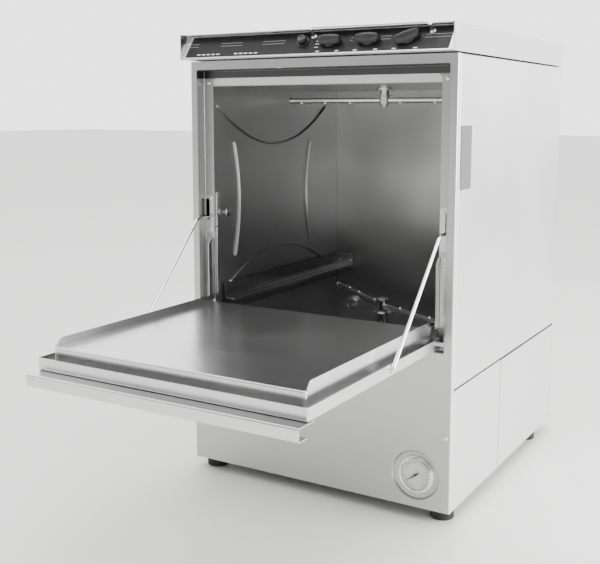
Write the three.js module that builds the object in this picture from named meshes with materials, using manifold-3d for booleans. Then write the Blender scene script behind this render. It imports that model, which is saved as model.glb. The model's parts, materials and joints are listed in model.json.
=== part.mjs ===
// Undercounter commercial dishwasher with a drop-down door, standing open.
// Millimetres, +Z up, the front faces -Y, +X is to the right of someone facing the front.
// The dimensions below are taken from the cabinet's front plane (y = 0) and the floor (z = 0).
import * as THREE from 'three';
import { mergeVertices } from 'three/addons/utils/BufferGeometryUtils.js';
import Module from 'manifold-3d';

const wasm = await Module();
wasm.setup();

// Cabinet
const HALF_W = 300; // half the cabinet width
const DEPTH = 665; // front plane to rear face
const Z_BASE = 25; // underside of the panels
const Z_TOP = 889.7; // top edge of the panels
const SHEET = 1.5; // panel thickness
const GAP = 0.3; // gap between touching pieces
const SPLIT_Z = 264.4; // seam between upper side panel and lower panels
const WRAP_Y = 274; // how far the front panel wraps round each side at the bottom
const HEM = 12; // side return of the front panel above the seam

// Door opening and recess
const OPEN_X = 284.5;
const OPEN_Z0 = 335;
const OPEN_Z1 = 872;
const RECESS = 26; // depth of the door recess
const MOUTH_X = 259.5;
const MOUTH_Z0 = 345;
const MOUTH_Z1 = 855;

// Wash tank
const TANK_X = 260; // inner half width
const TANK_Y0 = 26.3;
const TANK_Y1 = 570;
const TANK_Z0 = 236;
const TANK_Z1 = 838.2;
const HUB_Y = 320; // spray arms turn about this line
const ARM_R = 243; // reach of the spray arms
const SENSOR_Y = 61;
const RAIL_Y = 52; // front end of the rack rails
const RAIL_X = 254.7; // outer face of their upright plates

// Door
const HINGE_Y = 7;
const HINGE_Z = 352;
const DOOR_X = 272; // outer half width
const DOOR_FRONT = -480;
const DOOR_REAR = 13;
const DOOR_Z0 = 342;
const DOOR_Z1 = 364;
const INNER_X = 254.3;
const INNER_FRONT = -458;
const INNER_REAR = 8;
const INNER_Z = 380; // surface that carries a rack
const FLANGE_Z = 394; // top of its side flanges
const HANDLE_Y = -508;
const HANDLE_Z0 = 319.7;

// Door rods
const ROD_X = 276;
const ROD_R = 3.5;
const ROD_PIN = [-208, 354]; // y, z of the lower pivot
const ROD_BEND = [-14, 560];
const ROD_END_Y = 40;
const SLOT_Z = [554, 600];

// Lid and console
const LID_X = 303;
const LID_Z0 = 892;
const LID_Z1 = 944;
const CONSOLE_Y = -30;
const LID_FRONT = -9; // front edge of the lid's top, over the console
const SLOPE = [0.606, 0.795]; // y, z direction up the sloped panel
const SLOPE_Z = 893.5;
const SLOPE_LEN = 59.7;
const KNOB_X = [46, 127, 207];
const KNOB_TURN = [0, 0, 24]; // degrees each knob stands turned
const KNOB_S = 29;
const BUTTON_X = -16;
const GUARD_X = [5, 252];
const GUARD_S = 44;

// Gauge
const GAUGE_X = 228.7;
const GAUGE_Z = 88.7;
const GAUGE_R = 33;

// Under the tank
const SUMP = { x: 93.5, y0: 56.5, y1: 223.5, z: 100 };
const PUMP_Z = 125;
const RISER_X = 130;
const RISER_Y = 617;
const RISER_TOP = 864;
const FOOT_X = 270;
const FOOT_Y = [41, 560];
const DRAIN_X = -205;
const DRAIN_Z = 78;
const INLET_X = 200;
const INLET_Z = 300;

// The whole machine is moved so that its box is centred on y = 0.
const REAR_MOST = 688;
const Y_MID = (HANDLE_Y + REAR_MOST) / 2;

// ---- solids -------------------------------------------------------------------------------

function signedVolume(p, t) {
  let v = 0;
  for (let i = 0; i < t.length; i += 3) {
    const [a, b, c] = [t[i] * 3, t[i + 1] * 3, t[i + 2] * 3];
    v += p[a] * (p[b + 1] * p[c + 2] - p[b + 2] * p[c + 1]);
    v += p[a + 1] * (p[b + 2] * p[c] - p[b] * p[c + 2]);
    v += p[a + 2] * (p[b] * p[c + 1] - p[b + 1] * p[c]);
  }
  return v / 6;
}

function solid(geometry) {
  geometry.deleteAttribute('normal');
  geometry.deleteAttribute('uv');
  const merged = mergeVertices(geometry, 1e-4);
  const points = Float32Array.from(merged.attributes.position.array);
  const index = merged.index.array;
  const kept = [];
  for (let i = 0; i < index.length; i += 3) {
    const [a, b, c] = [index[i], index[i + 1], index[i + 2]];
    if (a !== b && b !== c && a !== c) kept.push(a, b, c);
  }
  if (signedVolume(points, kept) < 0) {
    for (let i = 0; i < kept.length; i += 3) [kept[i], kept[i + 1]] = [kept[i + 1], kept[i]];
  }
  const mesh = new wasm.Mesh({
    numProp: 3,
    vertProperties: points,
    triVerts: Uint32Array.from(kept),
  });
  return new wasm.Manifold(mesh);
}

function join(...parts) {
  return parts.reduce((a, b) => a.add(b));
}

function cut(body, ...tools) {
  return tools.reduce((a, b) => a.subtract(b), body);
}

function box(x0, x1, y0, y1, z0, z1) {
  const g = new THREE.BoxGeometry(x1 - x0, y1 - y0, z1 - z0);
  g.translate((x0 + x1) / 2, (y0 + y1) / 2, (z0 + z1) / 2);
  return solid(g);
}

// The same box on the left (side -1) or the right (side +1).
function sideBox(side, x0, x1, y0, y1, z0, z1) {
  return side > 0 ? box(x0, x1, y0, y1, z0, z1) : box(-x1, -x0, y0, y1, z0, z1);
}

const BASIS = {
  x: [[0, 1, 0], [0, 0, 1], [1, 0, 0]],
  y: [[1, 0, 0], [0, 0, 1], [0, 1, 0]],
  z: [[1, 0, 0], [0, 1, 0], [0, 0, 1]],
};

function place(geometry, axis) {
  const [u, v, w] = BASIS[axis].map((a) => new THREE.Vector3(...a));
  geometry.applyMatrix4(new THREE.Matrix4().makeBasis(u, v, w));
  return geometry;
}

// A polygon in the plane across an axis, extruded along it.
function prism(points, axis, from, to) {
  const shape = new THREE.Shape(points.map((p) => new THREE.Vector2(...p)));
  const g = new THREE.ExtrudeGeometry(shape, { depth: to - from, bevelEnabled: false });
  g.translate(0, 0, from);
  return solid(place(g, axis));
}

function roundedRect(u0, u1, v0, v1, r, n = 3) {
  const centres = [[u1 - r, v1 - r], [u0 + r, v1 - r], [u0 + r, v0 + r], [u1 - r, v0 + r]];
  const points = [];
  centres.forEach(([u, v], k) => {
    for (let i = 0; i <= n; i += 1) {
      const a = ((k + i / n) * Math.PI) / 2;
      points.push([u + r * Math.cos(a), v + r * Math.sin(a)]);
    }
  });
  return points;
}

// A profile of [radius, height] points turned about a line: point c, along one axis.
function turned(profile, axis, c, sides = 12) {
  const g = new THREE.LatheGeometry(profile.map((p) => new THREE.Vector2(...p)), sides);
  if (axis === 'x') g.rotateZ(-Math.PI / 2);
  if (axis === 'z') g.rotateX(Math.PI / 2);
  g.translate(...c);
  return solid(g);
}

function disc(r, from, to, axis, c, sides = 12) {
  return turned([[0, from], [r, from], [r, to], [0, to]], axis, c, sides);
}

// A route through exact points, whose direction at each point is midway between its two legs.
class Route extends THREE.Curve {
  constructor(points) {
    super();
    this.points = points;
  }

  getPointAt(u) {
    const t = u * (this.points.length - 1);
    const i = Math.min(Math.floor(t + 1e-9), this.points.length - 2);
    return this.points[i].clone().lerp(this.points[i + 1], t - i);
  }

  getTangentAt(u) {
    const last = this.points.length - 1;
    const i = Math.round(u * last);
    const before = this.points[Math.max(i, 1)].clone().sub(this.points[Math.max(i, 1) - 1]);
    const j = Math.min(i, last - 1);
    const after = this.points[j + 1].clone().sub(this.points[j]);
    return before.normalize().add(after.normalize()).normalize();
  }
}

// The points with each corner rounded by an arc that starts `bend` before it.
function rounded(points, bend) {
  const at = points.map((p) => new THREE.Vector3(...p));
  const out = [at[0]];
  for (let i = 1; i + 1 < at.length; i += 1) {
    const a = at[i].clone().add(at[i - 1].clone().sub(at[i]).setLength(bend));
    const b = at[i].clone().add(at[i + 1].clone().sub(at[i]).setLength(bend));
    const curve = new THREE.QuadraticBezierCurve3(a, at[i], b);
    out.push(a, curve.getPoint(0.36), curve.getPoint(0.64), b);
  }
  return [...out, at[at.length - 1]];
}

// A round bar bent along a list of points.
function bar(points, r, sides = 8, bend = 2.6 * r) {
  const path = rounded(points, bend);
  const ring = [];
  for (let i = 0; i < sides; i += 1) {
    const a = (2 * i * Math.PI) / sides;
    ring.push(new THREE.Vector2(r * Math.cos(a), r * Math.sin(a)));
  }
  return solid(new THREE.ExtrudeGeometry(new THREE.Shape(ring), {
    steps: path.length - 1,
    bevelEnabled: false,
    extrudePath: new Route(path),
  }));
}

// A pipe: a bar with its bore taken out, the bore run past both ends.
function pipe(points, r, bore, sides = 8, bend = 2.6 * r) {
  const at = points.map((p) => new THREE.Vector3(...p));
  const last = at.length - 1;
  const inner = points.map((p) => [...p]);
  inner[0] = at[0].clone().sub(at[1]).setLength(1).add(at[0]).toArray();
  inner[last] = at[last].clone().sub(at[last - 1]).setLength(1).add(at[last]).toArray();
  return cut(bar(points, r, sides, bend), bar(inner, bore, sides, bend));
}

// A screw head standing on a sheet: its axis, which way it faces, and its point on the sheet.
function screwHead(axis, dir, at) {
  const g = new THREE.CylinderGeometry(dir > 0 ? 3 : 4.2, dir > 0 ? 4.2 : 3, 2.4, 8);
  g.translate(0, dir * 0.8, 0);
  if (axis === 'x') g.rotateZ(-Math.PI / 2);
  g.translate(...at);
  return solid(g);
}

// ---- materials ----------------------------------------------------------------------------

function material(name, color, metalness, roughness, extra = {}) {
  return new THREE.MeshStandardMaterial({ name, color, metalness, roughness, ...extra });
}

const STEEL = material('brushed_stainless', 0xb9bbbd, 1, 0.34);
const TANK_STEEL = material('tank_stainless', 0x8f9192, 1, 0.3);
const CHROME = material('bright_rod', 0xd9dadb, 1, 0.12);
const BLACK = material('black_plastic', 0x141416, 0, 0.42);
const RUBBER = material('foot_rubber', 0x171717, 0, 0.75);
const LABEL = material('console_film', 0x1b1c1e, 0, 0.35);
const GREY = material('grey_plastic', 0x6c7074, 0, 0.5);
const PAINT = material('motor_paint', 0x3d4247, 0.3, 0.5);
const BRASS = material('brass', 0xb08a45, 1, 0.35);
const PAPER = material('dial_face', 0xe9e9e6, 0, 0.6);
const PLATE = material('plate_film', 0x9b9da0, 0.2, 0.5);
const GLASS = material('gauge_glass', 0xffffff, 0, 0.05, { transparent: true, opacity: 0.25 });

const part = new THREE.Group();
part.name = 'commercial_dishwasher';

function add(name, body, mat) {
  const mesh = body.getMesh();
  const g = new THREE.BufferGeometry();
  g.setAttribute('position', new THREE.BufferAttribute(Float32Array.from(mesh.vertProperties), 3));
  g.setIndex(new THREE.BufferAttribute(Uint32Array.from(mesh.triVerts), 1));
  g.translate(0, -Y_MID, 0);
  g.computeVertexNormals();
  const m = new THREE.Mesh(g, mat);
  m.name = name;
  part.add(m);
}

// ---- cabinet ------------------------------------------------------------------------------

function frontPanel() {
  const c = [GAUGE_X, 0, GAUGE_Z];
  const face = cut(
    box(-HALF_W, HALF_W, 0, SHEET, Z_BASE, Z_TOP),
    prism(roundedRect(-OPEN_X, OPEN_X, OPEN_Z0, OPEN_Z1, 12), 'y', -1, 3),
    disc(50, -1, 3, 'y', c, 28),
  );
  const dish = [
    [52, 0], [49.5, 0], [37.5, 7], [33.5, 7], [33.5, 8.5], [38, 8.5], [50.5, 1.5], [52, 1.5], [52, 0],
  ];
  const returns = [-1, 1].flatMap((s) => [
    sideBox(s, HALF_W - SHEET, HALF_W - 0.02, 0.5, HEM, SPLIT_Z - 1, Z_TOP - 0.5),
    sideBox(s, HALF_W - SHEET - 0.1, HALF_W - 0.01, 0.6, WRAP_Y, Z_BASE + 0.3, SPLIT_Z - GAP),
  ]);
  const screws = [-1, 1].map((s) => screwHead('y', -1, [s * 290, 0, 173]));
  return join(face, turned(dish, 'y', c, 28), ...returns, ...screws);
}

function recessFrame() {
  const x = OPEN_X - GAP;
  const [z0, z1] = [OPEN_Z0 + GAP, OPEN_Z1 - GAP];
  const slots = [-1, 1].map((s) => {
    return sideBox(s, ROD_X - 8, ROD_X + 7, 20, 30, SLOT_Z[0] - 6, SLOT_Z[1] + 3);
  });
  const ring = cut(
    prism(roundedRect(-x, x, z0, z1, 11.7), 'y', 0, RECESS),
    prism(roundedRect(-x + SHEET, x - SHEET, z0 + SHEET, z1 - SHEET, 10.2), 'y', -1, RECESS - SHEET),
    prism(roundedRect(-MOUTH_X, MOUTH_X, MOUTH_Z0, MOUTH_Z1, 10), 'y', 20, 30),
    ...slots,
  );
  return join(ring, ...[-1, 1].map((s) => screwHead('y', -1, [s * 270, RECESS - SHEET, 846])));
}

function accessPanel(side) {
  const [x0, x1] = [HALF_W - SHEET, HALF_W];
  const sheet = sideBox(side, x0, x1, WRAP_Y + 0.6, DEPTH - 1.8, Z_BASE, SPLIT_Z - 0.5);
  const at = [[292, 250], [646, 250], [292, 45], [646, 45]];
  return join(sheet, ...at.map(([y, z]) => screwHead('x', side, [side * HALF_W, y, z])));
}

function rearPanel() {
  return cut(
    box(-HALF_W, HALF_W, DEPTH - SHEET, DEPTH, Z_BASE, Z_TOP),
    disc(12.6, 650, 680, 'y', [INLET_X, 0, INLET_Z], 14),
    disc(15.6, 650, 680, 'y', [DRAIN_X, 0, DRAIN_Z], 14),
    disc(9.4, 650, 680, 'y', [-256, 0, 150], 14),
  );
}

function baseFrame() {
  const [z0, z1, x] = [30, 48, HALF_W - 1.8];
  const [y0, y1] = [9, 663.2];
  const parts = [-1, 1].flatMap((s) => [
    sideBox(s, x - 2, x, y0, y1, z0, z1 - 0.8),
    sideBox(s, x - 46, x - 1, y0 + 0.4, y1 - 0.4, z0 + 0.3, z0 + 2),
    sideBox(s, 246, 266, 80, 100, z0, TANK_Z0 - 2.1),
    sideBox(s, 246, 266, 530, 550, z0, TANK_Z0 - 2.1),
  ]);
  const cross = [[y0, y0 + 25], [y1 - 25, y1]];
  cross.forEach(([a, b]) => parts.push(box(-x + 1.2, x - 1.2, a, b, z0 + 0.1, z0 + 2.3)));
  [[296, 330], [380, 400], [450, 470]].forEach(([a, b]) => {
    parts.push(box(-x + 1, x - 1, a, b, z0 + 1, z1));
  });
  [[y0 + 0.2, y0 + 2], [y1 - 2, y1 - 0.2]].forEach(([a, b]) => {
    parts.push(box(-x + 1.4, x - 1.4, a, b, z0 + 0.5, z1 - 1.3));
  });
  const holes = [-FOOT_X, FOOT_X].flatMap((fx) => FOOT_Y.map((fy) => (
    disc(6.4, 20, 40, 'z', [fx, fy, 0], 12)
  )));
  return cut(join(...parts), ...holes);
}

function foot(x, y) {
  const profile = [
    [0, 0], [22, 0], [23, 2], [23, 15], [21, 17.5], [14, 20], [10, 21], [10, 29.7],
    [6, 29.7], [6, 46], [0, 46],
  ];
  return turned(profile, 'z', [x, y, 0], 14);
}

// ---- lid and console ----------------------------------------------------------------------

// A point s up the slope and h out from it, as y and z.
function slope(s, h) {
  return [
    CONSOLE_Y + SLOPE[0] * s - SLOPE[1] * h,
    SLOPE_Z + SLOPE[1] * s + SLOPE[0] * h,
  ];
}

// Something built about its own +Y axis, moved to stand on the slope at x and s.
function onSlope(body, x, s) {
  const [y, z] = slope(s, 0);
  const tilt = (Math.atan2(SLOPE[0], -SLOPE[1]) * 180) / Math.PI;
  return body.rotate([tilt, 0, 0]).translate([x, y, z]);
}

function slopeHole(r, x, s) {
  return onSlope(disc(r, -8, 4, 'y', [0, 0, 0], 8), x, s);
}

function topLid() {
  const sides = [-1, 1].flatMap((s) => [
    sideBox(s, LID_X - SHEET, LID_X, CONSOLE_Y, 667.6, LID_Z0, LID_Z1 - 0.4),
    sideBox(s, 286, LID_X - 2, 14, 660, 890, 891.5),
    sideBox(s, LID_X - 3.5, LID_X - 1, 14.4, 659.6, 890.4, 896),
  ]);
  return join(
    box(-LID_X, LID_X, LID_FRONT, 668, LID_Z1 - SHEET, LID_Z1),
    box(-LID_X + 0.4, LID_X - 0.4, 668 - SHEET, 667.8, LID_Z0 + 0.4, LID_Z1 - 0.2),
    box(-LID_X + 0.6, LID_X - 0.6, 8.2, 9.7, 936, LID_Z1 - 0.3),
    ...sides,
  );
}

function slopeHoles() {
  return [
    ...KNOB_X.map((x) => slopeHole(4.5, x, KNOB_S)),
    slopeHole(4.5, BUTTON_X, KNOB_S + 3),
    ...GUARD_X.map((x) => slopeHole(3.4, x, GUARD_S)),
  ];
}

function consolePanel() {
  const profile = [
    [CONSOLE_Y, LID_Z0], [CONSOLE_Y, SLOPE_Z], slope(SLOPE_LEN, 0), slope(SLOPE_LEN, -1.5),
    [-28.1, SLOPE_Z], [-10, SLOPE_Z], [-10, LID_Z0],
  ];
  return cut(prism(profile, 'x', -LID_X + 1.8, LID_X - 1.8), ...slopeHoles());
}

function controlLabel() {
  const profile = [slope(4, 0.3), slope(4, 1.1), slope(56, 1.1), slope(56, 0.3)];
  return cut(prism(profile, 'x', -291, 291), ...slopeHoles());
}

function selectorKnob(x, turn) {
  const half = [[-23, -6], [-21, -9.5], [0, -11], [21, -9.5], [23, -6]];
  const outline = [...half, ...half.map(([u, v]) => [-u, -v])];
  const body = join(
    turned([[0, -10], [4, -10], [4, 1.4], [13, 1.4], [13, 6], [0, 6]], 'y', [0, 0, 0], 14),
    prism(outline, 'y', 5, 19),
  );
  return onSlope(body.rotate([0, turn, 0]), x, KNOB_S);
}

function powerButton() {
  const profile = [[0, -10], [4, -10], [4, 6], [9, 6], [9, 12], [7.5, 14], [0, 14]];
  return onSlope(turned(profile, 'y', [0, 0, 0], 16), BUTTON_X, KNOB_S + 3);
}

function knobGuard() {
  const [a, b] = GUARD_X;
  const point = (x, h) => [x, ...slope(GUARD_S, h)];
  return bar([point(a, -6), point(a, 24), point(b, 24), point(b, -6)], 3, 8);
}

// ---- tank ---------------------------------------------------------------------------------

// A raised bead pressed into a side wall, through [y, z] points.
function bead(side, points) {
  const path = new THREE.CatmullRomCurve3(
    points.map(([y, z]) => new THREE.Vector3(side * (TANK_X + 0.4), y, z)),
  );
  const ring = [];
  for (let i = 0; i < 6; i += 1) {
    const a = (i * Math.PI) / 3;
    ring.push(new THREE.Vector2(3.4 * Math.cos(a), 3.4 * Math.sin(a)));
  }
  const g = new THREE.ExtrudeGeometry(new THREE.Shape(ring), {
    steps: 10,
    bevelEnabled: false,
    extrudePath: path,
  });
  return solid(g);
}

function bow(from, to, middle, sag, upright) {
  const points = [];
  for (let i = 0; i <= 6; i += 1) {
    const t = from + ((to - from) * i) / 6;
    const k = (2 * i) / 6 - 1;
    const v = middle + sag * k * k;
    points.push(upright ? [v, t] : [t, v]);
  }
  return points;
}

function tankSide(side) {
  const wall = sideBox(side, TANK_X, TANK_X + SHEET, TANK_Y0, TANK_Y1, TANK_Z0, TANK_Z1);
  const beads = [
    bow(40, 503, 712, 84, false),
    bow(82, 486, 470, -58, false),
    bow(470, 716, 118, -18, true),
    bow(470, 710, 411, 19, true),
  ].map((p) => bead(side, p));
  const body = join(wall, ...beads);
  const trimmed = body.intersect(sideBox(side, TANK_X - 5, TANK_X + SHEET, 0, 600, 200, 900));
  return side < 0 ? cut(trimmed, disc(5.4, -270, -250, 'x', [0, SENSOR_Y, 568], 12)) : trimmed;
}

function tankRear() {
  const x = TANK_X + SHEET;
  return cut(
    box(-x, x, TANK_Y1 + GAP, TANK_Y1 + GAP + SHEET, TANK_Z0, TANK_Z1),
    disc(12, 560, 580, 'y', [-208, 0, 284], 16),
    disc(6.5, 560, 580, 'y', [INLET_X, 0, 700], 12),
  );
}

function tankCeiling() {
  const x = TANK_X + SHEET;
  const sheet = box(-x, x, TANK_Y0, TANK_Y1 + 1.8, TANK_Z1 + GAP, TANK_Z1 + 1.8);
  const lip = box(-MOUTH_X, MOUTH_X, TANK_Y0 + 0.2, TANK_Y0 + SHEET, TANK_Z1 + 0.8, 858);
  return cut(join(sheet, lip), disc(8, 830, 850, 'z', [0, HUB_Y, 0], 12));
}

function tankFloor() {
  const x = TANK_X + SHEET;
  const sheet = box(-x, x, TANK_Y0, TANK_Y1 + 1.8, TANK_Z0 - 1.8, TANK_Z0 - GAP);
  const sill = box(-TANK_X + GAP, TANK_X - GAP, TANK_Y0 + 0.2, TANK_Y0 + SHEET, TANK_Z0 - 1, MOUTH_Z0 - 1);
  return cut(
    join(sheet, sill),
    box(-88, 88, 62, 218, 230, 240),
    disc(9, 230, 240, 'z', [0, HUB_Y, 0], 12),
  );
}

function sumpBasin() {
  const { x, y0, y1, z } = SUMP;
  const top = TANK_Z0 - 2.1;
  return cut(
    join(
      box(-x - SHEET, x + SHEET, y0 - SHEET, y1 + SHEET, z, top),
      box(-x - 12, x + 12, y0 - 12, y1 + 12, top - SHEET, top),
    ),
    box(-x, x, y0, y1, z + SHEET, top + 5),
    disc(18, 220, 230, 'y', [0, 0, PUMP_Z], 16),
    disc(14, 90, 105, 'z', [-40, 120, 0], 16),
  );
}

function scrapBasket() {
  const shell = cut(
    join(box(-86, 86, 64, 216, 168, 237.2), box(-100, 100, 50, 230, 236, 237.2)),
    box(-84.8, 84.8, 65.2, 214.8, 169.2, 240),
  );
  const slots = [];
  [-51, -17, 17, 51].forEach((x) => {
    slots.push(box(x - 10, x + 10, 55, 225, 180, 222));
    slots.push(box(x - 10, x + 10, 80, 200, 160, 175));
  });
  const bail = bar([[-70, 140, 236.6], [-40, 140, 262], [40, 140, 262], [70, 140, 236.6]], 2.5, 8);
  const strap = box(-99, 99, 136, 144, 236, 237.2);
  return join(cut(shell, ...slots), strap, bail);
}

function rackRail(side) {
  return join(
    sideBox(side, RAIL_X - SHEET, RAIL_X, RAIL_Y, 568, 350, 413),
    sideBox(side, RAIL_X - 25, RAIL_X, RAIL_Y + 0.3, 568.1, INNER_Z - SHEET, INNER_Z),
    sideBox(side, RAIL_X - 24.9, RAIL_X - 23.4, RAIL_Y + 0.6, 567, 372, INNER_Z - 0.4),
    sideBox(side, RAIL_X - 48, RAIL_X - 0.3, 566.5, 568.2, 368, 412),
    sideBox(side, RAIL_X - 0.5, TANK_X - GAP, 90, 110, 386, 402),
    sideBox(side, RAIL_X - 0.5, TANK_X - GAP, 520, 540, 386, 402),
    sideBox(side, RAIL_X - 14, RAIL_X - 4, 567, TANK_Y1, 386, 402),
  );
}

// ---- spray system -------------------------------------------------------------------------

function upperSpindle() {
  const profile = [
    [0, 796], [9, 796], [9, 800], [5, 800], [5, 820], [20, 820], [20, 822], [10.5, 822],
    [10.5, 834], [18, 834], [18, 838.2], [7, 838.2], [7, 856], [0, 856],
  ];
  return turned(profile, 'z', [0, HUB_Y, 0]);
}

function lowerSpindle() {
  const profile = [
    [0, 200], [8, 200], [8, 236], [28, 236], [28, 240], [15, 242], [15, 324], [21.5, 324],
    [21.5, 326.5], [13, 326.5], [13, 330], [5, 330], [5, 352.3], [14, 352.3], [14, 357], [0, 357],
  ];
  return turned(profile, 'z', [0, HUB_Y, 0]);
}

function sprayArm(z0, z1, angle, up, lift) {
  const at = (x) => [x, 0, (z0 + z1) / 2 + (lift * Math.abs(x)) / ARM_R];
  const parts = [disc(12.5, z0, z1, 'z', [0, 0, 0], 14)];
  [-1, 1].forEach((s) => {
    parts.push(bar([at(0), at(s * (ARM_R - 2))], 6));
    parts.push(bar([at(s * (ARM_R - 10)), at(s * ARM_R)], 7.2));
  });
  [-170, -120, -38, 85, 150, 211].forEach((x) => {
    const z = at(x)[2];
    parts.push(disc(3.6, z, z + up * 9, 'z', [up * x, 0, 0], 6));
  });
  const arm = cut(join(...parts), disc(5.4, z0 - 5, z1 + 5, 'z', [0, 0, 0], 12));
  return arm.rotate([0, 0, angle]).translate([0, HUB_Y, 0]);
}

function pumpHousing() {
  const c = [0, 0, PUMP_Z];
  const outer = join(
    disc(62, 290, 338, 'y', c, 18),
    disc(17.6, 221.5, 292, 'y', c, 12),
    disc(14, PUMP_Z, 215, 'z', [0, HUB_Y, 0], 12),
    disc(13, 0, 75, 'x', [0, 312, 160], 12),
    box(-34, 34, 298.5, 326, 48.3, 80),
  );
  return cut(
    outer,
    disc(56, 294, 330, 'y', c, 18),
    disc(14, 215, 300, 'y', c, 12),
    disc(8.4, PUMP_Z, 220, 'z', [0, HUB_Y, 0], 12),
    disc(9, 30, 80, 'x', [0, 312, 160], 12),
    disc(7.5, 325, 345, 'y', c, 12),
  );
}

function pumpImpeller() {
  const c = [0, 0, PUMP_Z];
  const parts = [
    disc(48, 300, 304, 'y', c, 20),
    disc(12, 300, 327, 'y', c, 12),
    disc(6, 320, 378, 'y', c, 12),
  ];
  for (let i = 0; i < 5; i += 1) {
    const vane = box(10, 46, 303, 322, -1.5, 1.5);
    parts.push(vane.rotate([0, i * 72, 0]).translate([0, 0, PUMP_Z]));
  }
  return join(...parts);
}

function washMotor() {
  const c = [0, 0, PUMP_Z];
  const body = join(
    turned([[0, 345], [50, 345], [58, 353], [58, 508], [48, 520], [0, 520]], 'y', c, 18),
    disc(28, 338.3, 346, 'y', c, 12),
    box(-40, 40, 383, 397, 48.3, 90),
    box(-40, 40, 453, 467, 48.3, 90),
    box(-26, 26, 400, 470, 170, 202),
  );
  return cut(body, disc(7.2, 330, 384, 'y', c, 12));
}

function riserPipe() {
  const path = [
    [75.3, 312, 160], [RISER_X, 312, 160], [RISER_X, RISER_Y, 160], [RISER_X, RISER_Y, RISER_TOP],
    [0, RISER_Y, RISER_TOP], [0, HUB_Y, RISER_TOP],
  ];
  const socket = disc(14, 843, 878, 'z', [0, HUB_Y, 0], 12);
  const bore = disc(7.4, 840, 870, 'z', [0, HUB_Y, 0], 12);
  const inner = bar([[70, 312, 160], ...path.slice(1)], 8.4, 8, 26);
  return cut(join(bar(path, 11, 8, 26), socket), bore, inner);
}

function drainValve() {
  const profile = [[0, 60], [22, 60], [22, 99.7], [13.6, 99.7], [13.6, 101.4], [0, 101.4]];
  const body = join(
    turned(profile, 'z', [-40, 120, 0], 16),
    disc(15, -85, -40, 'x', [0, 120, DRAIN_Z], 12),
    disc(18, 62, 110, 'y', [-40, 0, DRAIN_Z], 14),
    box(-64, -16, 62, 82, 54, 99),
  );
  return cut(
    body,
    disc(10, 70, 105, 'z', [-40, 120, 0], 12),
    disc(10, -90, -40, 'x', [0, 120, DRAIN_Z], 12),
  );
}

function drainPipe() {
  const end = REAR_MOST;
  const path = [[-85.3, 120, DRAIN_Z], [DRAIN_X, 120, DRAIN_Z], [DRAIN_X, end, DRAIN_Z]];
  return pipe(path, 15, 12, 10, 30);
}

function inletValve() {
  const [x, z] = [INLET_X, INLET_Z];
  return join(
    box(x - 22, x + 22, 604, 642, z - 18, z + 18),
    turned([[0, 640], [16, 640], [16, 652], [12, 652], [12, 688], [0, 688]], 'y', [x, 0, z], 14),
    disc(15, z + 17, z + 60, 'z', [x + 6, 628, 0], 14),
    bar([[x - 12, 617, z + 10], [x - 12, 617, 700], [x, 605, 700], [x, 556, 700]], 6, 8),
  );
}

function portPlug() {
  const profile = [
    [0, 560], [12, 560], [16, 562], [19, 566], [19, 570], [11.6, 570], [11.6, 572.1],
    [17, 572.1], [17, 581], [9, 581], [9, 596], [0, 596],
  ];
  return turned(profile, 'y', [-208, 0, 284], 16);
}

// The door switch: a round button on the left wall, carried by an upright strip behind the mouth.
function doorSwitch() {
  const profile = [
    [0, -268], [9, -268], [9, -261.8], [5, -261.8], [5, -259], [9.5, -259], [9.5, -249],
    [8, -247], [0, -247],
  ];
  const strip = join(
    box(-259.6, -255.2, 28.2, 29.7, 392, 614),
    box(-259.6, -258.2, 28.2, SENSOR_Y + 10, 540, 614),
    box(-259.6, -258.2, 28.2, 40, 392, 614),
  );
  return join(turned(profile, 'x', [0, SENSOR_Y, 568], 14), strip);
}

function controlBox() {
  return cut(
    join(box(-292, -222, 290, 515, 92, 222), box(-282, -262, 300, 326, 48.3, 93)),
    box(-290, -224, 292, 513, 94, 220),
    disc(12, 505, 520, 'y', [-256, 0, 150], 12),
  );
}

function cableGland() {
  const profile = [
    [4.5, 652], [9, 652], [9, 655], [13, 655], [13, 663.2], [9, 663.2], [9, 665.3], [13, 665.3],
    [13, 672], [9, 684], [4.5, 684], [4.5, 652],
  ];
  return turned(profile, 'y', [-256, 0, 150], 12);
}

// ---- door ---------------------------------------------------------------------------------

function doorHoles(r) {
  const both = [-290, 290];
  return [
    disc(r, both[0], both[1], 'x', [0, HINGE_Y, HINGE_Z], 12),
    disc(r + 0.3, both[0], both[1], 'x', [0, ...ROD_PIN], 12),
  ];
}

function doorOuter() {
  const shell = cut(
    box(-DOOR_X, DOOR_X, DOOR_FRONT, DOOR_REAR, DOOR_Z0, DOOR_Z1),
    box(-DOOR_X + SHEET, DOOR_X - SHEET, DOOR_FRONT + SHEET, DOOR_REAR - SHEET, DOOR_Z0 + SHEET, 400),
  );
  return cut(shell, ...doorHoles(4.4));
}

function doorInner() {
  const [x, y0, y1, z0] = [INNER_X, INNER_FRONT, INNER_REAR, DOOR_Z0 + SHEET + GAP];
  const body = cut(
    box(-x, x, y0, y1, z0, INNER_Z),
    box(-x + SHEET, x - SHEET, y0 + SHEET, y1 - SHEET, z0 - 1, INNER_Z - SHEET),
  );
  const flange = [[y0, INNER_Z - 2], [y0, INNER_Z], [y0 + 14, FLANGE_Z], [y1 - 3, FLANGE_Z], [y1, INNER_Z - 2]];
  return join(
    body,
    prism(flange, 'x', x - SHEET, x),
    prism(flange, 'x', -x, -x + SHEET),
  );
}

function doorHandle() {
  const [y, z0, z1] = [HANDLE_Y, HANDLE_Z0, DOOR_Z0 - GAP];
  return join(
    box(-DOOR_X, DOOR_X, y, -462, z1 - SHEET, z1),
    box(-DOOR_X, DOOR_X, y, y + SHEET, z0, z1),
    box(-DOOR_X, DOOR_X, y, -483, z0, z0 + SHEET),
  );
}

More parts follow.
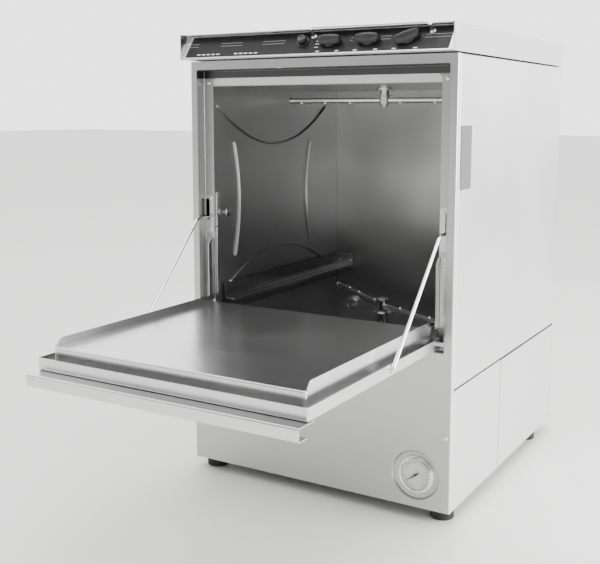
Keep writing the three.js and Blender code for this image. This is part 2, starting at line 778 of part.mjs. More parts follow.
function hingePin(side) {
  const profile = [[0, 262], [4, 262], [4, 280.2], [6, 280.2], [6, 282.3], [0, 282.3]];
  return turned(profile.map(([r, h]) => [r, side * h]), 'x', [0, HINGE_Y, HINGE_Z], 12);
}

function doorRod(side) {
  const x = side * ROD_X;
  const path = [
    [side * 264, ...ROD_PIN], [x, ...ROD_PIN], [x, ...ROD_BEND], [x, ROD_END_Y, ROD_BEND[1]],
  ];
  const nut = disc(6.5, Math.min(side * 263.5, side * 268), Math.max(side * 263.5, side * 268), 'x', [0, ...ROD_PIN], 6);
  return join(bar(path, ROD_R, 8, 7), nut);
}

function rodBracket(side) {
  const plate = cut(
    sideBox(side, 261, 282.4, 22.7, 24.2, 526, 608),
    sideBox(side, ROD_X - 4.5, ROD_X + 4.5, 20, 30, ...SLOT_Z),
  );
  return join(plate, ...[600, 534].map((z) => screwHead('y', -1, [side * 266.5, 22.7, z])));
}

function splashFin(side) {
  const fin = prism([[5, 380], [5, 503], [14, 515], [24.2, 515], [24.2, 380]], 'x', 262, 263.5);
  const leg = box(262, 276, 22.7, 24.2, 380, 515);
  const heads = [500, 396].map((z) => screwHead('y', -1, [270, 22.7, z]));
  const body = join(fin, leg, ...heads);
  return side > 0 ? body : body.mirror([1, 0, 0]);
}

// ---- gauge and small pieces ---------------------------------------------------------------

function gaugeHousing() {
  const r = GAUGE_R;
  const profile = [
    [0, 10], [30.3, 10], [30.3, -3], [32, -3], [r, -2], [r, 4.9], [36.5, 4.9], [36.5, 6.7],
    [r, 6.7], [r, 34], [26, 38], [7, 38], [7, 56], [0, 56],
  ];
  return turned(profile, 'y', [GAUGE_X, 0, GAUGE_Z], 22);
}

function gaugeNeedle() {
  const pointer = prism([[-8, -2], [-8, 2], [0, 1.6], [23, 0.5], [23, -0.5], [0, -1.6]], 'y', 0.6, 1.4);
  const hub = disc(3, 0.2, 3.4, 'y', [0, 0, 0], 12);
  const shaft = disc(1, 3, 8, 'y', [0, 0, 0], 8);
  return join(pointer, hub, shaft).rotate([0, 143, 0]).translate([GAUGE_X, 0, GAUGE_Z]);
}

function gaugeDial() {
  const c = [GAUGE_X, 0, GAUGE_Z];
  return cut(disc(29.8, 4, 5, 'y', c, 22), disc(1.6, 0, 8, 'y', c, 8));
}

function gaugeLens() {
  return disc(29.8, -2.4, -1, 'y', [GAUGE_X, 0, GAUGE_Z], 22);
}

// ---- assembly -----------------------------------------------------------------------------

add('front_panel', frontPanel(), STEEL);
add('recess_frame', recessFrame(), STEEL);
for (const [side, name] of [[-1, 'left'], [1, 'right']]) {
  const [x0, x1] = [HALF_W - SHEET, HALF_W];
  const rear = DEPTH - SHEET - GAP;
  add(`${name}_side_panel`, sideBox(side, x0, x1, HEM + GAP, rear, SPLIT_Z, Z_TOP), STEEL);
  add(`${name}_access_panel`, accessPanel(side), STEEL);
}
add('rear_panel', rearPanel(), STEEL);
add('base_frame', baseFrame(), STEEL);
add('foot_front_left', foot(-FOOT_X, FOOT_Y[0]), RUBBER);
add('foot_front_right', foot(FOOT_X, FOOT_Y[0]), RUBBER);
add('foot_rear_left', foot(-FOOT_X, FOOT_Y[1]), RUBBER);
add('foot_rear_right', foot(FOOT_X, FOOT_Y[1]), RUBBER);

add('top_lid', topLid(), STEEL);
add('console_panel', consolePanel(), STEEL);
add('control_label', controlLabel(), LABEL);
KNOB_X.forEach((x, i) => add(`selector_knob_${i + 1}`, selectorKnob(x, KNOB_TURN[i]), BLACK));
add('power_button', powerButton(), BLACK);
add('knob_guard', knobGuard(), CHROME);

add('tank_left_wall', tankSide(-1), TANK_STEEL);
add('tank_right_wall', tankSide(1), TANK_STEEL);
add('tank_rear_wall', tankRear(), TANK_STEEL);
add('tank_ceiling', tankCeiling(), TANK_STEEL);
add('tank_floor', tankFloor(), TANK_STEEL);
add('sump_basin', sumpBasin(), TANK_STEEL);
add('scrap_basket', scrapBasket(), STEEL);
add('left_rack_rail', rackRail(-1), STEEL);
add('right_rack_rail', rackRail(1), STEEL);
add('upper_spindle', upperSpindle(), STEEL);
add('upper_spray_arm', sprayArm(802, 819.7, 3, -1, 0), STEEL);
add('lower_spindle', lowerSpindle(), STEEL);
add('lower_spray_arm', sprayArm(330.3, 352, -36, 1, 9), STEEL);
add('wash_pump_housing', pumpHousing(), GREY);
add('pump_impeller', pumpImpeller(), GREY);
add('wash_motor', washMotor(), PAINT);
add('riser_pipe', riserPipe(), STEEL);
add('drain_valve', drainValve(), GREY);
add('drain_pipe', drainPipe(), GREY);
add('water_inlet_valve', inletValve(), BRASS);
add('tank_port_plug', portPlug(), CHROME);
add('door_switch', doorSwitch(), STEEL);
add('control_box', controlBox(), PAINT);
add('cable_gland', cableGland(), BLACK);

add('door_outer_pan', doorOuter(), STEEL);
add('door_inner_pan', doorInner(), STEEL);
add('door_handle', doorHandle(), STEEL);
add('door_hinge_pin_left', hingePin(-1), CHROME);
add('door_hinge_pin_right', hingePin(1), CHROME);
add('door_rod_left', doorRod(-1), CHROME);
add('door_rod_right', doorRod(1), CHROME);
add('rod_bracket_left', rodBracket(-1), STEEL);
add('rod_bracket_right', rodBracket(1), STEEL);
add('splash_fin_left', splashFin(-1), STEEL);
add('splash_fin_right', splashFin(1), STEEL);

add('gauge_housing', gaugeHousing(), CHROME);
add('gauge_dial', gaugeDial(), PAPER);
add('gauge_needle', gaugeNeedle(), BLACK);
add('gauge_lens', gaugeLens(), GLASS);
add('rating_plate', box(HALF_W + GAP, HALF_W + 1, 18, 72, 642, 760), PLATE);

export default part;
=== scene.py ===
"""The looks of an undercounter commercial dishwasher with its drop-down door open.

Points are given in millimetres from the middle of the cabinet, its front plane and the floor,
and at() turns them into metres in the frame's own axes.
"""
import json
import math

import bmesh
import bpy
from mathutils import Matrix, Vector


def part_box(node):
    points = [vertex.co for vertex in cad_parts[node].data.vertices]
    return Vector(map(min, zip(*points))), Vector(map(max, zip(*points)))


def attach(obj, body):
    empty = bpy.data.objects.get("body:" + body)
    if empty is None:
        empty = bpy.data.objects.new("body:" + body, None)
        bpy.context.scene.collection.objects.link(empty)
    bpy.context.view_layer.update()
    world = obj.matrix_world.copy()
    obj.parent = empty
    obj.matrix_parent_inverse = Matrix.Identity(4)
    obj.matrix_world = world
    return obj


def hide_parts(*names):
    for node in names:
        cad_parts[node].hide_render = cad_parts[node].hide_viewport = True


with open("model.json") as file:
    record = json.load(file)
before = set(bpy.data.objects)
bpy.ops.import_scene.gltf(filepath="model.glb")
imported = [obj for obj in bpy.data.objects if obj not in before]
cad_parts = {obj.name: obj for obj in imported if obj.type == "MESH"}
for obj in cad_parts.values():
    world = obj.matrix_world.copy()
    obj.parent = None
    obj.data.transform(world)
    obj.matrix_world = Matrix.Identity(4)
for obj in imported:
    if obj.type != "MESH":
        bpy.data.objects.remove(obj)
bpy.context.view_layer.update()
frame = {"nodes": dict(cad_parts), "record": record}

RECORD = frame["record"]
BODY_OF = {n: body for body, names in RECORD["behaviour"]["bodies"].items() for n in names}
MM = 0.001
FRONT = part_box("recess_frame")[0].y
SHEET = 1.5
X, Y, Z = (0, 1, 2)
ORIGIN = (0, 0, 0)
SIDES = ((-1, "left"), (1, "right"))
EIGHTHS = [i * math.pi / 8 for i in range(5)]  # the steps of a quarter turn


def at(p):
    """A place in millimetres as a vector of the frame, in metres."""
    return Vector((p[0] * MM, p[1] * MM + FRONT, p[2] * MM))


class Extent:
    """A CAD node's box in millimetres from the middle, the front plane and the floor."""

    def __init__(self, node):
        low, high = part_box(node)
        self.x0, self.x1 = low.x / MM, high.x / MM
        self.y0, self.y1 = (low.y - FRONT) / MM, (high.y - FRONT) / MM
        self.z0, self.z1 = low.z / MM, high.z / MM


CABINET = Extent("rear_panel")
RECESS = Extent("recess_frame")
PAN = Extent("door_outer_pan")
INNER = Extent("door_inner_pan")
HANDLE = Extent("door_handle")
LID = Extent("top_lid")
LENS = Extent("gauge_lens")

# ---- procedural materials ----


class Nodes:
    """A node tree: nodes are added with their settings and inputs in one call."""

    def __init__(self, owner):
        owner.use_nodes = True
        self.tree = owner.node_tree

    def put(self, node, values):
        for name, value in values.items():
            socket = node.inputs[name]
            if isinstance(value, bpy.types.NodeSocket):
                self.tree.links.new(value, socket)
            else:
                socket.default_value = value

    def node(self, kind, inputs=None, **settings):
        made = self.tree.nodes.new(kind)
        for name, value in settings.items():
            setattr(made, name, value)
        self.put(made, inputs or {})
        return made


class Graph(Nodes):
    """A material on the principled shader."""

    def __init__(self, name, **constants):
        self.material = bpy.data.materials.new(name)
        super().__init__(self.material)
        self.shader = self.tree.nodes["Principled BSDF"]
        self.put(self.shader, constants)
        self.coords = self.node("ShaderNodeTexCoord").outputs["Object"]

    def noise(self, stretch, detail=3.0, roughness=0.55, seed=0.0):
        """Noise whose grains per metre along X, Y and Z are given by stretch."""
        mapped = self.node("ShaderNodeMapping", {
            "Vector": self.coords, "Scale": stretch, "Location": (seed, seed, seed),
        })
        made = self.node("ShaderNodeTexNoise", {
            "Vector": mapped.outputs[0], "Scale": 1.0, "Detail": detail, "Roughness": roughness,
        })
        return made.outputs["Fac"]

    def span(self, value, low, high, start=0.3, end=0.7):
        inputs = {"Value": value, "From Min": start, "From Max": end, "To Min": low, "To Max": high}
        return self.node("ShaderNodeMapRange", inputs).outputs["Result"]

    def math(self, operation, a, b=0.0):
        return self.node("ShaderNodeMath", {0: a, 1: b}, operation=operation).outputs[0]

    def blend(self, factor, first, second):
        return self.node("ShaderNodeMix", {0: factor, 6: first, 7: second}, data_type="RGBA").outputs[2]

    def bump(self, height, distance, strength=1.0):
        inputs = {"Height": height, "Distance": distance, "Strength": strength}
        self.put(self.shader, {"Normal": self.node("ShaderNodeBump", inputs).outputs[0]})


def grey(value, warm=0.0):
    return (value * (1 + warm), value, value * (1 - warm), 1)


def brushed(name, axis, tone, rough, wave=0.0004, painted_shade_above=None):
    """Stainless sheet with its grain along one axis, faint smears and a slight waviness.

    Above a given height the sheet is darkened to a fifth of its tone: painted shade, as under the lid.
    """
    g = Graph(name, Metallic=1.0, Anisotropic=0.3)
    fine, coarse = [1100.0] * 3, [420.0] * 3
    fine[axis], coarse[axis] = 9.0, 3.5
    grain = g.noise(fine, detail=4.0)
    streak = g.noise(coarse, detail=3.0, seed=3.1)
    smear = g.noise([5.0] * 3, detail=4.0, seed=7.7)
    sway = g.noise([3.2] * 3, detail=1.0, roughness=0.3, seed=1.3)
    shade = g.blend(g.span(smear, 0.0, 1.0), grey(tone * 0.97), grey(tone * 1.03))
    shade = g.blend(g.span(streak, 0.0, 0.3), shade, grey(tone * 0.93))
    # Painted shade: the sheet above the given height is darkened.
    if painted_shade_above:
        height = g.node("ShaderNodeSeparateXYZ", {"Vector": g.coords}).outputs["Z"]
        above = g.span(height, 0.0, 1.0, painted_shade_above * MM, (painted_shade_above + 3) * MM)
        shade = g.blend(above, shade, grey(tone * 0.2))
    roughness = g.math("ADD", g.span(streak, rough - 0.012, rough + 0.016), g.span(smear, -0.015, 0.025))
    g.put(g.shader, {"Base Color": shade, "Roughness": roughness})
    grooves = g.math("MULTIPLY", g.math("ADD", grain, g.math("MULTIPLY", streak, 0.4)), 0.000012)
    g.bump(g.math("ADD", grooves, g.math("MULTIPLY", sway, wave)), 1.0, 1.0)
    return g.material


def polished(name, tone, rough):
    g = Graph(name, Metallic=1.0)
    scratch = g.noise((700.0, 700.0, 60.0), detail=3.0)
    smear = g.noise([30.0] * 3, seed=2.0)
    shade = g.blend(g.span(smear, 0.0, 1.0), grey(tone * 0.95), grey(tone))
    g.put(g.shader, {
        "Base Color": shade,
        "Roughness": g.math("ADD", g.span(scratch, rough * 0.8, rough * 1.3), g.span(smear, 0, 0.05)),
    })
    g.bump(scratch, 0.00001, 0.4)
    return g.material


def moulded(name, colour, rough, bump=0.00003, **constants):
    """Plastic, rubber or paint: a fine texture in the mould, dust in patches, worn corners."""
    g = Graph(name, Metallic=0.0, **constants)
    grain = g.noise([1400.0] * 3, detail=2.0)
    patch = g.noise([35.0] * 3, detail=4.0, seed=5.0)
    worn = g.span(g.node("ShaderNodeNewGeometry").outputs["Pointiness"], 0.0, 1.0, 0.52, 0.62)
    light = tuple(c * 1.7 + 0.01 for c in colour[:3]) + (1,)
    dusty = tuple(c * 1.25 + 0.004 for c in colour[:3]) + (1,)
    shade = g.blend(g.span(patch, 0.0, 1.0), colour, dusty)
    shade = g.blend(g.math("MULTIPLY", worn, 0.5), shade, light)
    g.put(g.shader, {
        "Base Color": shade,
        "Roughness": g.math("ADD", g.span(patch, rough - 0.05, rough + 0.06), g.span(grain, -0.03, 0.03)),
    })
    g.bump(grain, bump, 0.6)
    return g.material


def clear(name):
    g = Graph(name, Metallic=0.0, IOR=1.45, **{"Transmission Weight": 1.0})
    smear = g.noise([60.0] * 3, detail=3.0)
    g.put(g.shader, {"Roughness": g.span(smear, 0.01, 0.05), "Base Color": grey(0.98)})
    return g.material


STEEL_FRONT = brushed("front_steel", Z, 0.5, 0.33)
# The recess's top band above 853 mm is darkened: painted shade under the lid.
STEEL_RECESS = brushed("recess_steel", Z, 0.46, 0.3, painted_shade_above=853)
# The sides take a much lighter copy of the front's steel: painted light on the sides.
STEEL_SIDE_LIT = brushed("side_steel_painted_lighter", Z, 0.88, 0.34)
STEEL_BACK = brushed("back_steel", Z, 0.5, 0.4)
STEEL_LID = brushed("lid_steel", X, 0.8, 0.34)
STEEL_DOOR = brushed("door_steel", X, 0.66, 0.24, 0.001)
STEEL_TANK = brushed("tank_steel", Z, 0.52, 0.33, 0.004)
STEEL_REAR = brushed("tank_rear_steel", Z, 0.47, 0.31, 0.03)
STEEL_DEEP = brushed("tank_floor_steel", Y, 0.42, 0.26)
STEEL_PLAIN = brushed("small_part_steel", Z, 0.6, 0.24)
# Darker steel for the rails, also laid on returns, inner faces and the base frame as painted shade.
STEEL_RAIL_AND_SHADE = brushed("rail_steel", Y, 0.34, 0.22)
CHROME = polished("bright_steel", 0.86, 0.13)
ARM = polished("arm_steel", 0.95, 0.3)
BLACK = moulded("black_plastic", (0.012, 0.012, 0.013, 1), 0.42)
RUBBER = moulded("black_rubber", (0.012, 0.012, 0.012, 1), 0.7, 0.00006)
FILM = moulded("black_film", (0.006, 0.006, 0.007, 1), 0.38, 0.00001, **{"Specular IOR Level": 0.22})
MARKS = moulded("white_marks", (0.62, 0.62, 0.62, 1), 0.5, 0.00001)
LINES = moulded("grey_marks", (0.16, 0.16, 0.16, 1), 0.5, 0.00001)
GREY = moulded("grey_plastic", (0.14, 0.15, 0.16, 1), 0.5)
PAINT = moulded("machine_paint", (0.045, 0.052, 0.06, 1), 0.4)
DIAL = moulded("dial_white", (0.94, 0.94, 0.93, 1), 0.55, 0.00001)
# Light grey strips on the tank beads' crests: painted highlight.
CREST_HIGHLIGHT = moulded("bead_crest_painted_highlight", (0.8, 0.8, 0.8, 1), 0.35, 0.00001)
PLATE = moulded("plate_film", (0.1, 0.1, 0.105, 1), 0.5, 0.00001, **{"Specular IOR Level": 0.3})
GLASS = clear("clear_lens")


def brass():
    g = Graph("machined_brass", Metallic=1.0)
    ring = g.noise((250.0, 900.0, 250.0))
    patina = g.noise([60.0] * 3, detail=4.0, seed=1.0)
    shade = g.blend(g.span(patina, 0.0, 1.0), (0.44, 0.3, 0.12, 1), (0.66, 0.48, 0.22, 1))
    g.put(g.shader, {"Base Color": shade, "Roughness": g.span(ring, 0.25, 0.4)})
    g.bump(ring, 0.00003, 0.5)
    return g.material


BRASS = brass()

# ---- mesh making ----


def linked(name, data):
    obj = bpy.data.objects.new(name, data)
    bpy.context.scene.collection.objects.link(obj)
    return obj


def shown(name, mesh, nodes, material, sharp=35):
    """A finished piece that stands for CAD nodes, or only rides with the first where it starts with +."""
    mesh.materials.clear()
    mesh.materials.append(material)
    mesh.shade_smooth()
    mesh.set_sharp_from_angle(angle=math.radians(sharp))
    mesh = with_modifiers(mesh, {"type": "WEIGHTED_NORMAL", "keep_sharp": True, "weight": 80})
    obj = linked(name, mesh)
    extra = nodes.startswith("+")
    names = nodes.lstrip("+").split()
    if not extra:
        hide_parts(*names)
    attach(obj, BODY_OF[names[0]])
    return obj


def second_finish(obj, material, chosen):
    """Another material on the faces that chosen picks."""
    obj.data.materials.append(material)
    for face in obj.data.polygons:
        if chosen(face):
            face.material_index = 1


def mesh_of(bm):
    mesh = bpy.data.meshes.new("mesh")
    bmesh.ops.recalc_face_normals(bm, faces=bm.faces)
    bm.to_mesh(mesh)
    bm.free()
    return mesh


def with_modifiers(mesh, *settings):
    """The mesh after modifiers, each a dict of its type and values."""
    obj = linked("work", mesh)
    for values in settings:
        values = dict(values)
        modifier = obj.modifiers.new("work", values.pop("type"))
        for key, value in values.items():
            setattr(modifier, key, value)
    graph = bpy.context.evaluated_depsgraph_get()
    made = bpy.data.meshes.new_from_object(obj.evaluated_get(graph))
    bpy.data.objects.remove(obj)
    return made


def minus(mesh, *cutters, operation="DIFFERENCE"):
    """The mesh less the cutters, or joined to them."""
    tools = [linked("cutter", cutter) for cutter in cutters]
    made = with_modifiers(mesh, *[
        {"type": "BOOLEAN", "object": tool, "operation": operation, "solver": "EXACT"}
        for tool in tools
    ])
    for tool in tools:
        bpy.data.objects.remove(tool)
    return made


def union(mesh, *others):
    return minus(mesh, *others, operation="UNION")


def eased(mesh, width):
    """The mesh with its sharp edges rounded."""
    return with_modifiers(mesh, {
        "type": "BEVEL", "width": width * MM, "segments": 2, "limit_method": "ANGLE",
        "angle_limit": math.radians(40), "harden_normals": False,
    })


def moved(mesh, *turns, to=ORIGIN):
    """A mesh made about the origin, turned by each matrix and carried to a place."""
    for matrix in (Matrix.Translation(-at(ORIGIN)), *turns, Matrix.Translation(at(to))):
        mesh.transform(matrix)
    return mesh


def rounded(u0, u1, v0, v1, r, n=6):
    """A rectangle with rounded corners, anticlockwise from its right side."""
    centres = ((u1 - r, v1 - r), (u0 + r, v1 - r), (u0 + r, v0 + r), (u1 - r, v0 + r))
    points = []
    for k, (u, v) in enumerate(centres):
        for i in range(n + 1):
            a = (k + i / n) * math.pi / 2
            points.append((u + r * math.cos(a), v + r * math.sin(a)))
    return points


def across(axis):
    """The other two axes."""
    return [k for k in (X, Y, Z) if k != axis]


def mirrored(side, near, far):
    """Two distances from the middle on one side of it, lowest place first."""
    return sorted((side * near, side * far))


def circle(u, v, r, n=64):
    return [(u + r * math.cos(2 * math.pi * i / n), v + r * math.sin(2 * math.pi * i / n))
            for i in range(n)]


def rim(loop, inset):
    """A closed outline moved into itself by inset."""
    n = len(loop)
    area_twice = sum(u * loop[(i + 1) % n][1] - loop[(i + 1) % n][0] * v for i, (u, v) in enumerate(loop))
    inset = math.copysign(inset, inset * area_twice)
    points = []
    for i, (u, v) in enumerate(loop):
        before = Vector((u - loop[i - 1][0], v - loop[i - 1][1])).normalized()
        after = Vector((loop[(i + 1) % n][0] - u, loop[(i + 1) % n][1] - v)).normalized()
        normal = Vector((-before.y - after.y, before.x + after.x)).normalized()
        reach = inset / max(0.3, normal.dot(Vector((-before.y, before.x))))
        points.append((u + normal.x * reach, v + normal.y * reach))
    return points


class Skin:
    """The middle surface of a folded sheet: flat faces with holes, and folds between rows."""

    def __init__(self):
        self.bm = bmesh.new()

    def rows(self, rows, closed=False):
        grid = [[self.bm.verts.new(at(p)) for p in row] for row in rows]
        for a, b in zip(grid, grid[1:]):
            last = len(a) if closed else len(a) - 1
            for i in range(last):
                j = (i + 1) % len(a)
                self.bm.faces.new((a[i], a[j], b[j], b[i]))

    def flat(self, loops, place):
        """A face inside the first loop and outside the others, with a narrow rim along each."""
        edges = []
        for k, loop in enumerate(loops):
            inner = rim(loop, -0.4 if k else 0.4)
            edge = [self.bm.verts.new(at(place(u, v))) for u, v in loop]
            verts = [self.bm.verts.new(at(place(u, v))) for u, v in inner]
            for i, v in enumerate(verts):
                j = (i + 1) % len(verts)
                edges.append(self.bm.edges.new((v, verts[j])))
                self.bm.faces.new((edge[i], edge[j], verts[j], v))
        bmesh.ops.triangle_fill(self.bm, edges=edges, use_beauty=True, use_dissolve=False)

    def sheet(self, thickness=SHEET):
        bmesh.ops.remove_doubles(self.bm, verts=self.bm.verts, dist=0.02 * MM)
        return with_modifiers(mesh_of(self.bm), {
            "type": "SOLIDIFY", "thickness": thickness * MM, "offset": 0.0,
            "use_even_offset": True, "use_rim": True,
        })


def quarter(r, n=4):
    """Steps round a fold of radius r: how far in from the edge, and how deep."""
    return [(r * (1 - math.sin(a)), r * (1 - math.cos(a)))
            for a in (i * math.pi / 2 / n for i in range(n + 1))]


def tray(u, v, place, depth, corner=4.0, fold=2.5, holes=()):
    """A face with a return folded down all round. place(u, v, w) puts w below the face."""
    skin = Skin()
    h = SHEET / 2
    (u0, u1), (v0, v1) = u, v
    u0, u1, v0, v1 = u0 + h, u1 - h, v0 + h, v1 - h
    corner = max(corner, fold + 0.3)

    def ring(inset, w):
        points = rounded(u0 + inset, u1 - inset, v0 + inset, v1 - inset, corner - inset)
        return [place(p, q, h + w) for p, q in points]

    skin.flat([rounded(u0 + fold, u1 - fold, v0 + fold, v1 - fold, corner - fold), *holes],
              lambda p, q: place(p, q, h))
    skin.rows([*[ring(a, w) for a, w in quarter(fold)], ring(0, depth - h)], closed=True)
    return skin.sheet()


def block(x, y, z, r=0.8, segments=2):
    """A box between two places on each axis, with eased edges."""
    bm = bmesh.new()
    bmesh.ops.create_cube(bm, size=1)
    for vert in bm.verts:
        c = vert.co
        vert.co = at((x[c.x > 0], y[c.y > 0], z[c.z > 0]))
    if r:
        bmesh.ops.bevel(bm, geom=list(bm.edges), offset=r * MM, segments=segments,
                        affect="EDGES", profile=0.5)
    return mesh_of(bm)


def turned(profile, axis, centre, sides=48):
    """A profile of (radius, place along the axis), closed on the axis or on itself, turned round."""
    bm = bmesh.new()
    u, v = across(axis)
    rings = []
    for r, h in profile:
        ring = []
        for i in range(sides if r > 1e-6 else 1):
            a = 2 * math.pi * i / sides
            p = list(centre)
            p[u] += r * math.cos(a)
            p[v] += r * math.sin(a)
            p[axis] = centre[axis] + h
            ring.append(bm.verts.new(at(p)))
        rings.append(ring)
    for a, b in zip(rings, rings[1:]):
        for i in range(sides):
            j = (i + 1) % sides
            corners = dict.fromkeys((a[i % len(a)], a[j % len(a)], b[j % len(b)], b[i % len(b)]))
            if len(corners) > 2:
                bm.faces.new(corners)
    bmesh.ops.remove_doubles(bm, verts=bm.verts, dist=0.001 * MM)
    return mesh_of(bm)


def disc(r, low, high, axis, centre, sides=48, ease=0.4):
    return turned([(0, low), (r - ease, low), (r, low + ease), (r, high - ease), (r - ease, high),
                   (0, high)], axis, centre, sides)


def prism(outline, axis, low, high, ease=0.0):
    """An outline across an axis, extruded along it."""
    u, v = across(axis)
    bm = bmesh.new()
    ends = []
    for h in (low, high):
        verts = []
        for a, b in outline:
            p = [0, 0, 0]
            p[u], p[v], p[axis] = a, b, h
            verts.append(bm.verts.new(at(p)))
        ends.append(verts)
        bm.faces.new(verts)
    n = len(outline)
    for i in range(n):
        j = (i + 1) % n
        bm.faces.new((ends[0][i], ends[0][j], ends[1][j], ends[1][i]))
    mesh = mesh_of(bm)
    return eased(mesh, ease) if ease else mesh


def path_points(points, bend, n=6):
    """A route with each corner rounded by an arc that starts bend before it."""
    route = [Vector(p) for p in points]
    out = [route[0]]
    for before, here, after in zip(route, route[1:], route[2:]):
        a = here + (before - here).normalized() * bend
        b = here + (after - here).normalized() * bend
        for i in range(n + 1):
            t = i / n
            out.append(a * (1 - t) ** 2 + here * (2 * t * (1 - t)) + b * t ** 2)
    out.append(route[-1])
    return out


def swept(points, r, sides=16, squash=1.0, up=None, dome=0.0):
    """A round bar along points, its section narrowed to squash along its own side direction."""
    bm = bmesh.new()
    route = [Vector(p) for p in points]
    tangents = []
    for i, p in enumerate(route):
        before = (p - route[i - 1]).normalized() if i else None
        after = (route[i + 1] - p).normalized() if i + 1 < len(route) else None
        both = (before or Vector()) + (after or Vector())
        tangents.append(both.normalized())
    side = (up or Vector((0.31, 0.17, 0.93))).cross(tangents[0]).normalized()
    rings = []
    last = len(route) - 1
    for i, (p, t) in enumerate(zip(route, tangents)):
        side = (side - t * side.dot(t)).normalized()
        other = t.cross(side)
        scales = [(0.0, 1.0)]
        if dome and i in (0, last):
            scales += [(dome * math.sin(a), math.cos(a)) for a in EIGHTHS[1:4]]
            if i == 0:
                scales = [(-d, k) for d, k in reversed(scales)]
        for d, k in scales:
            ring = []
            for j in range(sides):
                a = 2 * math.pi * j / sides
                offset = side * math.cos(a) * r * k * squash + other * math.sin(a) * r * k
                ring.append(bm.verts.new(at(p + t * d + offset)))
            rings.append(ring)
    for a, b in zip(rings, rings[1:]):
        for j in range(sides):
            k = (j + 1) % sides
            bm.faces.new((a[j], a[k], b[k], b[j]))
    bm.faces.new(rings[0])
    bm.faces.new(rings[-1])
    return mesh_of(bm)


def joined(*meshes):
    """Several meshes as one, each still its own closed shell."""
    bm = bmesh.new()
    for mesh in meshes:
        bm.from_mesh(mesh)
    return mesh_of(bm)


def screw_mesh(axis, sign, p, r, height):
    """A pan-head screw with a cross recess, standing on a sheet at p."""
    dome = [(0, 0), (r, 0), (r, 0.35 * height), (0.86 * r, 0.75 * height), (0.5 * r, height), (0, height)]
    head = turned([(a, b * sign) for a, b in dome], axis, p, 20)
    slots = []
    u, v = across(axis)
    for long, short in ((u, v), (v, u)):
        spans = [None, None, None]
        spans[long] = (p[long] - 0.55 * r, p[long] + 0.55 * r)
        spans[short] = (p[short] - 0.14 * r, p[short] + 0.14 * r)
        spans[axis] = sorted((p[axis] + sign * 0.55 * height, p[axis] + sign * (height + 1)))
        slots.append(block(*spans, r=0))
    return minus(head, *slots)


def screws(name, node, axis, sign, places, r=4.0, height=1.9, marks="12345678"):
    """A row of screws that ride with a node, each named by its mark."""
    for mark, p in zip(marks, places):
        shown(f"{name}_screw_{mark}", screw_mesh(axis, sign, p, r, height), f"+{node}", CHROME)


# ---- cabinet ----

HALF_W, DEPTH = 300.0, CABINET.y1
Z_BASE, Z_TOP = 25.0, CABINET.z1
SEAM_Z, WRAP_Y, HEM_Y = 264.4, 274.0, 12.0
OPENING = (-284.5, 284.5, 335.0, 872.0)
MOUTH = (-259.5, 259.5, 345.0, 855.0)
GAUGE = ((LENS.x0 + LENS.x1) / 2, (LENS.z0 + LENS.z1) / 2)
ROD_X = 276.0
SLOT_Z = (554.0, 600.0)


def front_panel():
    fold, h = 2.4, SHEET / 2
    x, edge = HALF_W - h, HALF_W - h - fold
    low, high = Z_BASE + 0.3, Z_TOP - 0.3
    seam = (SEAM_Z - 0.6, SEAM_Z)
    skin = Skin()
    levels = (low, *seam, high)
    outer = [*((edge, z) for z in levels), *((-edge, z) for z in reversed(levels))]
    sides = 72
    skin.flat([outer, rounded(*OPENING, 3.5, 8), circle(*GAUGE, 50, sides)], lambda u, v: (u, h, v))
    dish = [(50, h), (49.4, h + 0.3), (48.9, h + 1.1), (47.4, h + 4.4), (46.6, h + 5.3), (45.4, h + 5.7),
            (37.8, h + 6.5), (36.2, h + 6.9), (34, h + 6.9)]
    skin.rows([[(u, y, v) for u, v in circle(*GAUGE, r, sides)] for r, y in dish], closed=True)
    for side in (-1, 1):
        for z0, z1, depth in ((low, seam[0], WRAP_Y), (seam[1], high, HEM_Y)):
            profile = [(x - a, h + b) for b, a in reversed(quarter(fold))]
            profile.append((x, depth))
            skin.rows([[(side * px, py, z0), (side * px, py, z1)] for px, py in profile])
    panel = shown("front_panel_sheet", skin.sheet(), "front_panel", STEEL_FRONT)
    # Faces turned sideways take the lighter side steel: painted light.
    second_finish(panel, STEEL_SIDE_LIT, lambda face: abs(face.normal.x) > 0.8)


def recess_frame():
    h = SHEET / 2
    u0, u1, v0, v1 = OPENING
    gap, r, depth = 0.3 + h, 3.2, RECESS.y1 - h
    skin = Skin()

    def ring(inset, y):
        points = rounded(u0 + gap + inset, u1 - gap - inset, v0 + gap + inset, v1 - gap - inset,
                         r - inset, 8)
        return [(u, y, v) for u, v in points]

    steps = [(a, depth - 2.4 + b) for a, b in ((0, 0), (0.18, 0.92), (0.7, 1.7), (1.48, 2.22), (2.4, 2.4))]
    skin.rows([ring(0, 0.1), *[ring(a, y) for a, y in steps]], closed=True)
    back = [(u, v) for u, _, v in ring(2.4, depth)]
    low, high = SLOT_Z[0] - 6, SLOT_Z[1] + 3
    slots = [rounded(*mirrored(s, ROD_X - 8, ROD_X + 5.5), low, high, 3, 4) for s in (-1, 1)]
    skin.flat([back, rounded(*MOUTH, 10, 8), *slots], lambda u, v: (u, depth, v))
    shown("recess_frame_sheet", skin.sheet(), "recess_frame", STEEL_RECESS)
    places = [(x, RECESS.y1 - SHEET, 846) for x in (-270, 270)]
    screws("recess", "recess_frame", Y, -1, places, marks="lr")


